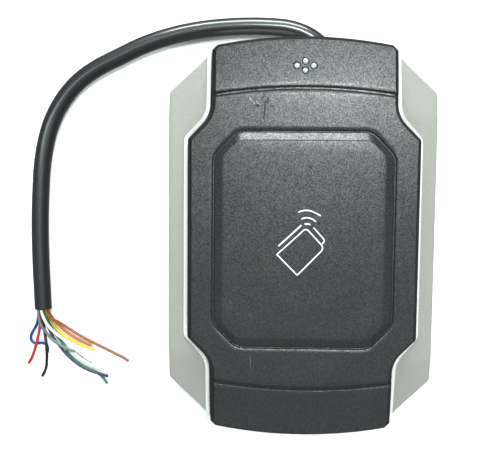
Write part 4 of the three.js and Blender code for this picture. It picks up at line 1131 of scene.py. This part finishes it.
def frosted_acrylic(name, colour):
    """Frosted clear acrylic: light sinks in and comes back pale, with a soft wet highlight."""
    material, where = new_material(name)
    frost = noise(material, where, 0.4 * MM, detail=3.0)
    shader = add_node(material, "ShaderNodeBsdfPrincipled", {
        "Base Color": shaded(material, colour, frost, 0.94, 1.04),
        "Roughness": remap(material, frost, 0, 1, 0.2, 0.34),
        "IOR": 1.49,
        "Subsurface Weight": 0.5,
        "Subsurface Radius": (0.6 * MM, 0.6 * MM, 0.6 * MM),
        "Subsurface Scale": 1.0,
        "Normal": grain_bump(material, where, 0.25 * MM, 0.01 * MM),
    })
    return finish_material(material, shader)


def matt_board(name, colour):
    """Matt white card for the ground: even, with a very faint cloudiness."""
    material, where = new_material(name)
    cloud = noise(material, where, 60 * MM)
    shader = add_node(material, "ShaderNodeBsdfPrincipled", {
        "Base Color": shaded(material, colour, cloud, 0.995, 1.005),
        "Roughness": 0.9,
        "Specular IOR Level": 0.1,
    })
    return finish_material(material, shader)


def give(piece, *materials):
    """Gives a piece its one or two materials in place of any it has.

    A new piece has none and isn't cleared, as that would put all its faces on the first material.
    """
    if len(piece.data.materials):
        piece.data.materials.clear()
    for material in materials:
        piece.data.materials.append(material)


def cad_node(name):
    node = bpy.data.objects.get(name)
    if node is None:
        raise RuntimeError(f"the frame has no node {name}")
    return node


# ------------------------------------------------------------------ finishes of the plain and hidden parts

# Every node that stays as the frame has it, by the finish it gets.
PLAIN_NODES = {
    "black_abs": ["back_plate", "buzzer", "cable_header", "tamper_switch", "inner_leads"],
    "seal_rubber": ["cover_seal", "cable_gland"],
    "lamp_resin": ["led_top", "led_bottom", "led_left", "led_right"],
    "board_laminate": ["circuit_board"],
    "enamelled_copper": ["antenna_coil"],
    "natural_nylon": ["antenna_former", "cable_plug", "tamper_plunger"],
    "chip_epoxy": ["microcontroller", "reader_chip", "voltage_regulator"],
    "plated_can": ["crystal", "capacitor_input", "capacitor_output"],
    "ferrite": ["inductor"],
    "screw_steel": [f"{kind}_screw_{i}" for kind in ("plate", "board") for i in (1, 2, 3, 4)]
    + ["tamper_spring", "security_screw"],
}
ZINC = linear("b9bcbc")


def plain_finishes():
    """The materials of the nodes that stay as they are, by the record's slot names."""
    return {
        "black_abs": moulded_plastic("black_abs", linear("262829"), roughness=0.55),
        "seal_rubber": moulded_plastic("seal_rubber", linear("1c1d1e"), roughness=0.75, grain=0.6 * MM),
        "lamp_resin": frosted_acrylic("lamp_resin", linear("dfe6e4")),
        "board_laminate": moulded_plastic("board_laminate", linear("1f5a3a"), roughness=0.4, grain=1.2 * MM),
        "enamelled_copper": worked_metal("enamelled_copper", linear("b4673a"), roughness=0.3),
        "natural_nylon": moulded_plastic("natural_nylon", linear("e2dccb"), roughness=0.5),
        "chip_epoxy": moulded_plastic("chip_epoxy", linear("202122"), roughness=0.6, grain=0.15 * MM),
        "plated_can": worked_metal("plated_can", linear("c9ccce"), roughness=0.25),
        "ferrite": moulded_plastic("ferrite", linear("3c3d40"), roughness=0.5),
        "screw_steel": worked_metal("screw_steel", ZINC, roughness=0.3),
    }


# ------------------------------------------------------------------ stage, and what the operators share

CAMERA_PLACE = (-15.441, 19.405, 267.455)  # millimetres
CAMERA_TURN = (-0.07599494, 0.02696689, 0.00920743)  # axis times angle, from looking straight down
CAMERA_LENS = (52.5, 36.0)  # focal length and sensor width in millimetres
CAMERA_CLIP = (0.01, 20.0)  # metres
GUIDE_PLATE = 1.2  # thickness of the plate that the light guide's stems stand on
FLOOR_BOX = ((-3000, -3000, -2), (3000, 3000, -0.02))
SURROUND = 0.3
SURROUND_TINT = "f4f8fa"
LIGHT_TINT = "f2fcfb"
CHIN_FILL = ((0.1, -1.0, 0.8), (0.0, -0.1, 0.0), (0.6, 0.4), 11.0)
# name, place, what it faces and size in metres, power in watts
LIGHTS = [
    ("top_softbox", (0.0, 1.05, 0.5), (0.0, 0.0, 0.0), (0.8, 0.35), 19.0),
    ("overhead", (0.13, 0.31, 1.0), (0.0, 0.0, 0.0), (0.26, 0.26), 8.2),
    ("left_strip", (-0.5, 0.15, 1.0), (0.0, 0.0, 0.0), (0.12, 0.6), 1.5),
]


def add_light(name, place, target, size, power):
    """A rectangular softbox of size (width, height) that faces a point."""
    data = bpy.data.lights.new(name, "AREA")
    data.shape = "RECTANGLE"
    data.size, data.size_y = size
    data.energy = power
    data.color = linear(LIGHT_TINT)
    light = bpy.data.objects.new(name, data)
    light.location = place
    light.rotation_mode = "QUATERNION"
    light.rotation_quaternion = (Vector(target) - Vector(place)).to_track_quat("-Z", "Y")
    bpy.context.scene.collection.objects.link(light)
    return light


def stand_for(piece, node):
    """The piece rides on the reader in place of a node, which is hidden."""
    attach(piece, READER)
    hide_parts(node)


def declare_cord(piece, node, with_pieces=()):
    """Makes a cord piece, and any pieces that go with it, ride on the reader in place of a node."""
    stand_for(piece, node)
    for extra in with_pieces:
        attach(extra, READER)


# ------------------------------------------------------------------ operators


class CARDREADER_OT_camera(bpy.types.Operator):
    """Adds the camera, above the reader and tilted a little towards its top"""

    bl_idname = "card_reader.camera"
    bl_label = "Add camera"

    def execute(self, context):
        data = bpy.data.cameras.new("camera")
        data.lens, data.sensor_width = CAMERA_LENS
        data.clip_start, data.clip_end = CAMERA_CLIP
        camera = bpy.data.objects.new("camera", data)
        camera.location = Vector(CAMERA_PLACE) * MM
        camera.rotation_mode = "QUATERNION"
        turn = Vector(CAMERA_TURN)
        camera.rotation_quaternion = Quaternion(turn.normalized(), turn.length)
        context.scene.collection.objects.link(camera)
        context.scene.camera = camera
        return {"FINISHED"}


class CARDREADER_OT_cable(bpy.types.Operator):
    """Adds the cable's sheath and its ten wires along their routes"""

    bl_idname = "card_reader.cable"
    bl_label = "Add cable and wires"

    def execute(self, context):
        settings, colours = context.scene.card_reader_cable, context.scene.card_reader_colours
        radius, bore, deep = settings.radius / MM, settings.bore / MM, settings.bore_depth / MM
        sheath, path = cord_piece("sheath", CABLE_ROUTE, SHEATH_STEP, radius, bore, deep, SHEATH_SIDES)
        give(sheath, sheath_pvc("sheath_pvc", colours.sheath))
        declare_cord(sheath, "cable_sheath")
        tinned = worked_metal("tinned_copper", linear("c8c4bc"), roughness=0.35, streak=0.12 * MM)
        radius, strand = settings.wire_radius / MM, settings.strand_radius / MM
        for colour, route in WIRE_ROUTES.items():
            sizes = (WIRE_STEP, radius, strand, WIRE_BORE_DEPTH, WIRE_SIDES)
            wire, path = cord_piece(f"{colour}_wire", route, *sizes)
            finish = f"wire_{colour}_pvc"
            give(wire, moulded_plastic(finish, linear(WIRE_HEX[colour]), roughness=0.42, grain=0.5 * MM))
            last = GREY_STRANDS if colour == "grey" else path[-2:]
            core = core_piece(f"{colour}_core", last, strand - CORE_PLAY)
            give(core, tinned)
            declare_cord(wire, f"wire_{colour}", [core])
        return {"FINISHED"}


class CARDREADER_OT_cover(bpy.types.Operator):
    """Adds the charcoal front cover with its panel, grooves and lamp holes"""

    bl_idname = "card_reader.cover"
    bl_label = "Add front cover"

    def execute(self, context):
        colours = context.scene.card_reader_colours
        face = sparkling_abs("charcoal_abs", colours.charcoal)
        # painted shade: the steep sides get a darker, less glossy copy of the charcoal
        side = moulded_plastic("charcoal_abs_painted_shade_side", colours.side, roughness=0.5, specular=0.2)
        shell = cover_shell(context.scene.card_reader_cover, face, side)
        stand_for(shell, "front_cover")
        return {"FINISHED"}


class CARDREADER_OT_housing(bpy.types.Operator):
    """Adds the silver housing with its wings and raised lip"""

    bl_idname = "card_reader.housing"
    bl_label = "Add base housing"

    def execute(self, context):
        colours = context.scene.card_reader_colours
        wing = silver_paint("silver_abs", colours.silver)
        # painted highlight: the lip gets a lighter, non-metallic copy of the silver
        lip = silver_paint("silver_abs_lip_painted_highlight", colours.lip, metallic=0.0, flake_height=0.003 * MM)
        shell = housing_shell(context.scene.card_reader_housing, wing, lip)
        stand_for(shell, "rear_housing")
        return {"FINISHED"}


class CARDREADER_OT_symbol(bpy.types.Operator):
    """Prints the sign of a card and waves on the panel"""

    bl_idname = "card_reader.symbol"
    bl_label = "Add panel symbol"

    def execute(self, context):
        surface = context.scene.card_reader_cover.plateau_z / MM
        symbol = make_piece("panel_symbol", symbol_grids(surface))
        give(symbol, printed_ink("white_ink", context.scene.card_reader_colours.ink))
        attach(symbol, READER)
        return {"FINISHED"}


class CARDREADER_OT_lamps(bpy.types.Operator):
    """Adds the light guide with its four frosted tips"""

    bl_idname = "card_reader.lamps"
    bl_label = "Add lamp tips"

    def execute(self, context):
        low, high = (np.array(corner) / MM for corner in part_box("light_guide"))
        plate_top = low[2] + GUIDE_PLATE
        grids = [box_grid(low, (high[0], high[1], plate_top))]
        for x, y in LIGHT_PLACES:
            grids.append(turned(lamp_profile(plate_top - GUIDE_PLATE / 2, high[2]), PIPE_SIDES, (x, y, 0)))
        guide = make_piece("lamp_tips", grids)
        give(guide, frosted_acrylic("clear_acrylic", context.scene.card_reader_colours.lamp))
        stand_for(guide, "light_guide")
        return {"FINISHED"}


class CARDREADER_OT_inside(bpy.types.Operator):
    """Gives the back plate, screws and inner parts their finishes"""

    bl_idname = "card_reader.inside"
    bl_label = "Finish back and inner parts"

    def execute(self, context):
        finishes = plain_finishes()
        for slot, names in PLAIN_NODES.items():
            for name in names:
                give(cad_node(name), finishes[slot])
        return {"FINISHED"}


class CARDREADER_OT_stage(bpy.types.Operator):
    """Adds the pale floor, the soft lights and the surrounding light"""

    bl_idname = "card_reader.stage"
    bl_label = "Add floor and lights"

    def execute(self, context):
        floor = make_piece("floor", [box_grid(*FLOOR_BOX)])
        give(floor, matt_board("floor_board", context.scene.card_reader_colours.floor))
        floor.visible_glossy = False  # no mirror image or bounce of it whitens the steep dark sides
        floor.visible_diffuse = False
        for name, place, target, size, power in LIGHTS:
            add_light(name, place, target, size, power)
        fill = add_light("chin_fill", *CHIN_FILL)
        fill.visible_glossy = False  # it lifts the floor and the chin without a highlight of its own
        world = bpy.data.worlds.new("studio")
        world.use_nodes = True
        background = world.node_tree.nodes["Background"].inputs
        background["Color"].default_value = (*linear(SURROUND_TINT), 1)
        background["Strength"].default_value = SURROUND
        context.scene.world = world
        context.scene.view_settings.view_transform = "Standard"
        return {"FINISHED"}


class CARDREADER_PT_panel(bpy.types.Panel):
    """Sidebar panel with the reader's sizes and colours, and a button for each piece"""

    bl_idname = "CARDREADER_PT_panel"
    bl_label = "Card Reader"
    bl_space_type = "VIEW_3D"
    bl_region_type = "UI"
    bl_category = "Card Reader"

    def draw(self, context):
        for group in SETTINGS:
            box = self.layout.box()
            box.label(text=group.removeprefix("card_reader_").title())
            settings = getattr(context.scene, group)
            for key in settings.bl_rna.properties.keys():
                if key not in ("rna_type", "name"):
                    box.prop(settings, key)
        for operator in STEPS:
            self.layout.operator(operator.bl_idname)


STEPS = [
    CARDREADER_OT_camera,
    CARDREADER_OT_cable,
    CARDREADER_OT_cover,
    CARDREADER_OT_housing,
    CARDREADER_OT_symbol,
    CARDREADER_OT_lamps,
    CARDREADER_OT_inside,
    CARDREADER_OT_stage,
]
SETTINGS = {
    "card_reader_cover": CoverSettings,
    "card_reader_housing": HousingSettings,
    "card_reader_cable": CableSettings,
    "card_reader_colours": ColourSettings,
}
CLASSES = [*SETTINGS.values(), *STEPS, CARDREADER_PT_panel]


def register():
    for cls in CLASSES:
        bpy.utils.register_class(cls)
    for name, group in SETTINGS.items():
        setattr(bpy.types.Scene, name, bpy.props.PointerProperty(type=group))


def unregister():
    for name in SETTINGS:
        delattr(bpy.types.Scene, name)
    for cls in reversed(CLASSES):
        bpy.utils.unregister_class(cls)


def main():
    """Registers the add-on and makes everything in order."""
    register()
    for operator in STEPS:
        group, name = operator.bl_idname.split(".")
        getattr(getattr(bpy.ops, group), name)()


if __name__ == "__main__":
    main()
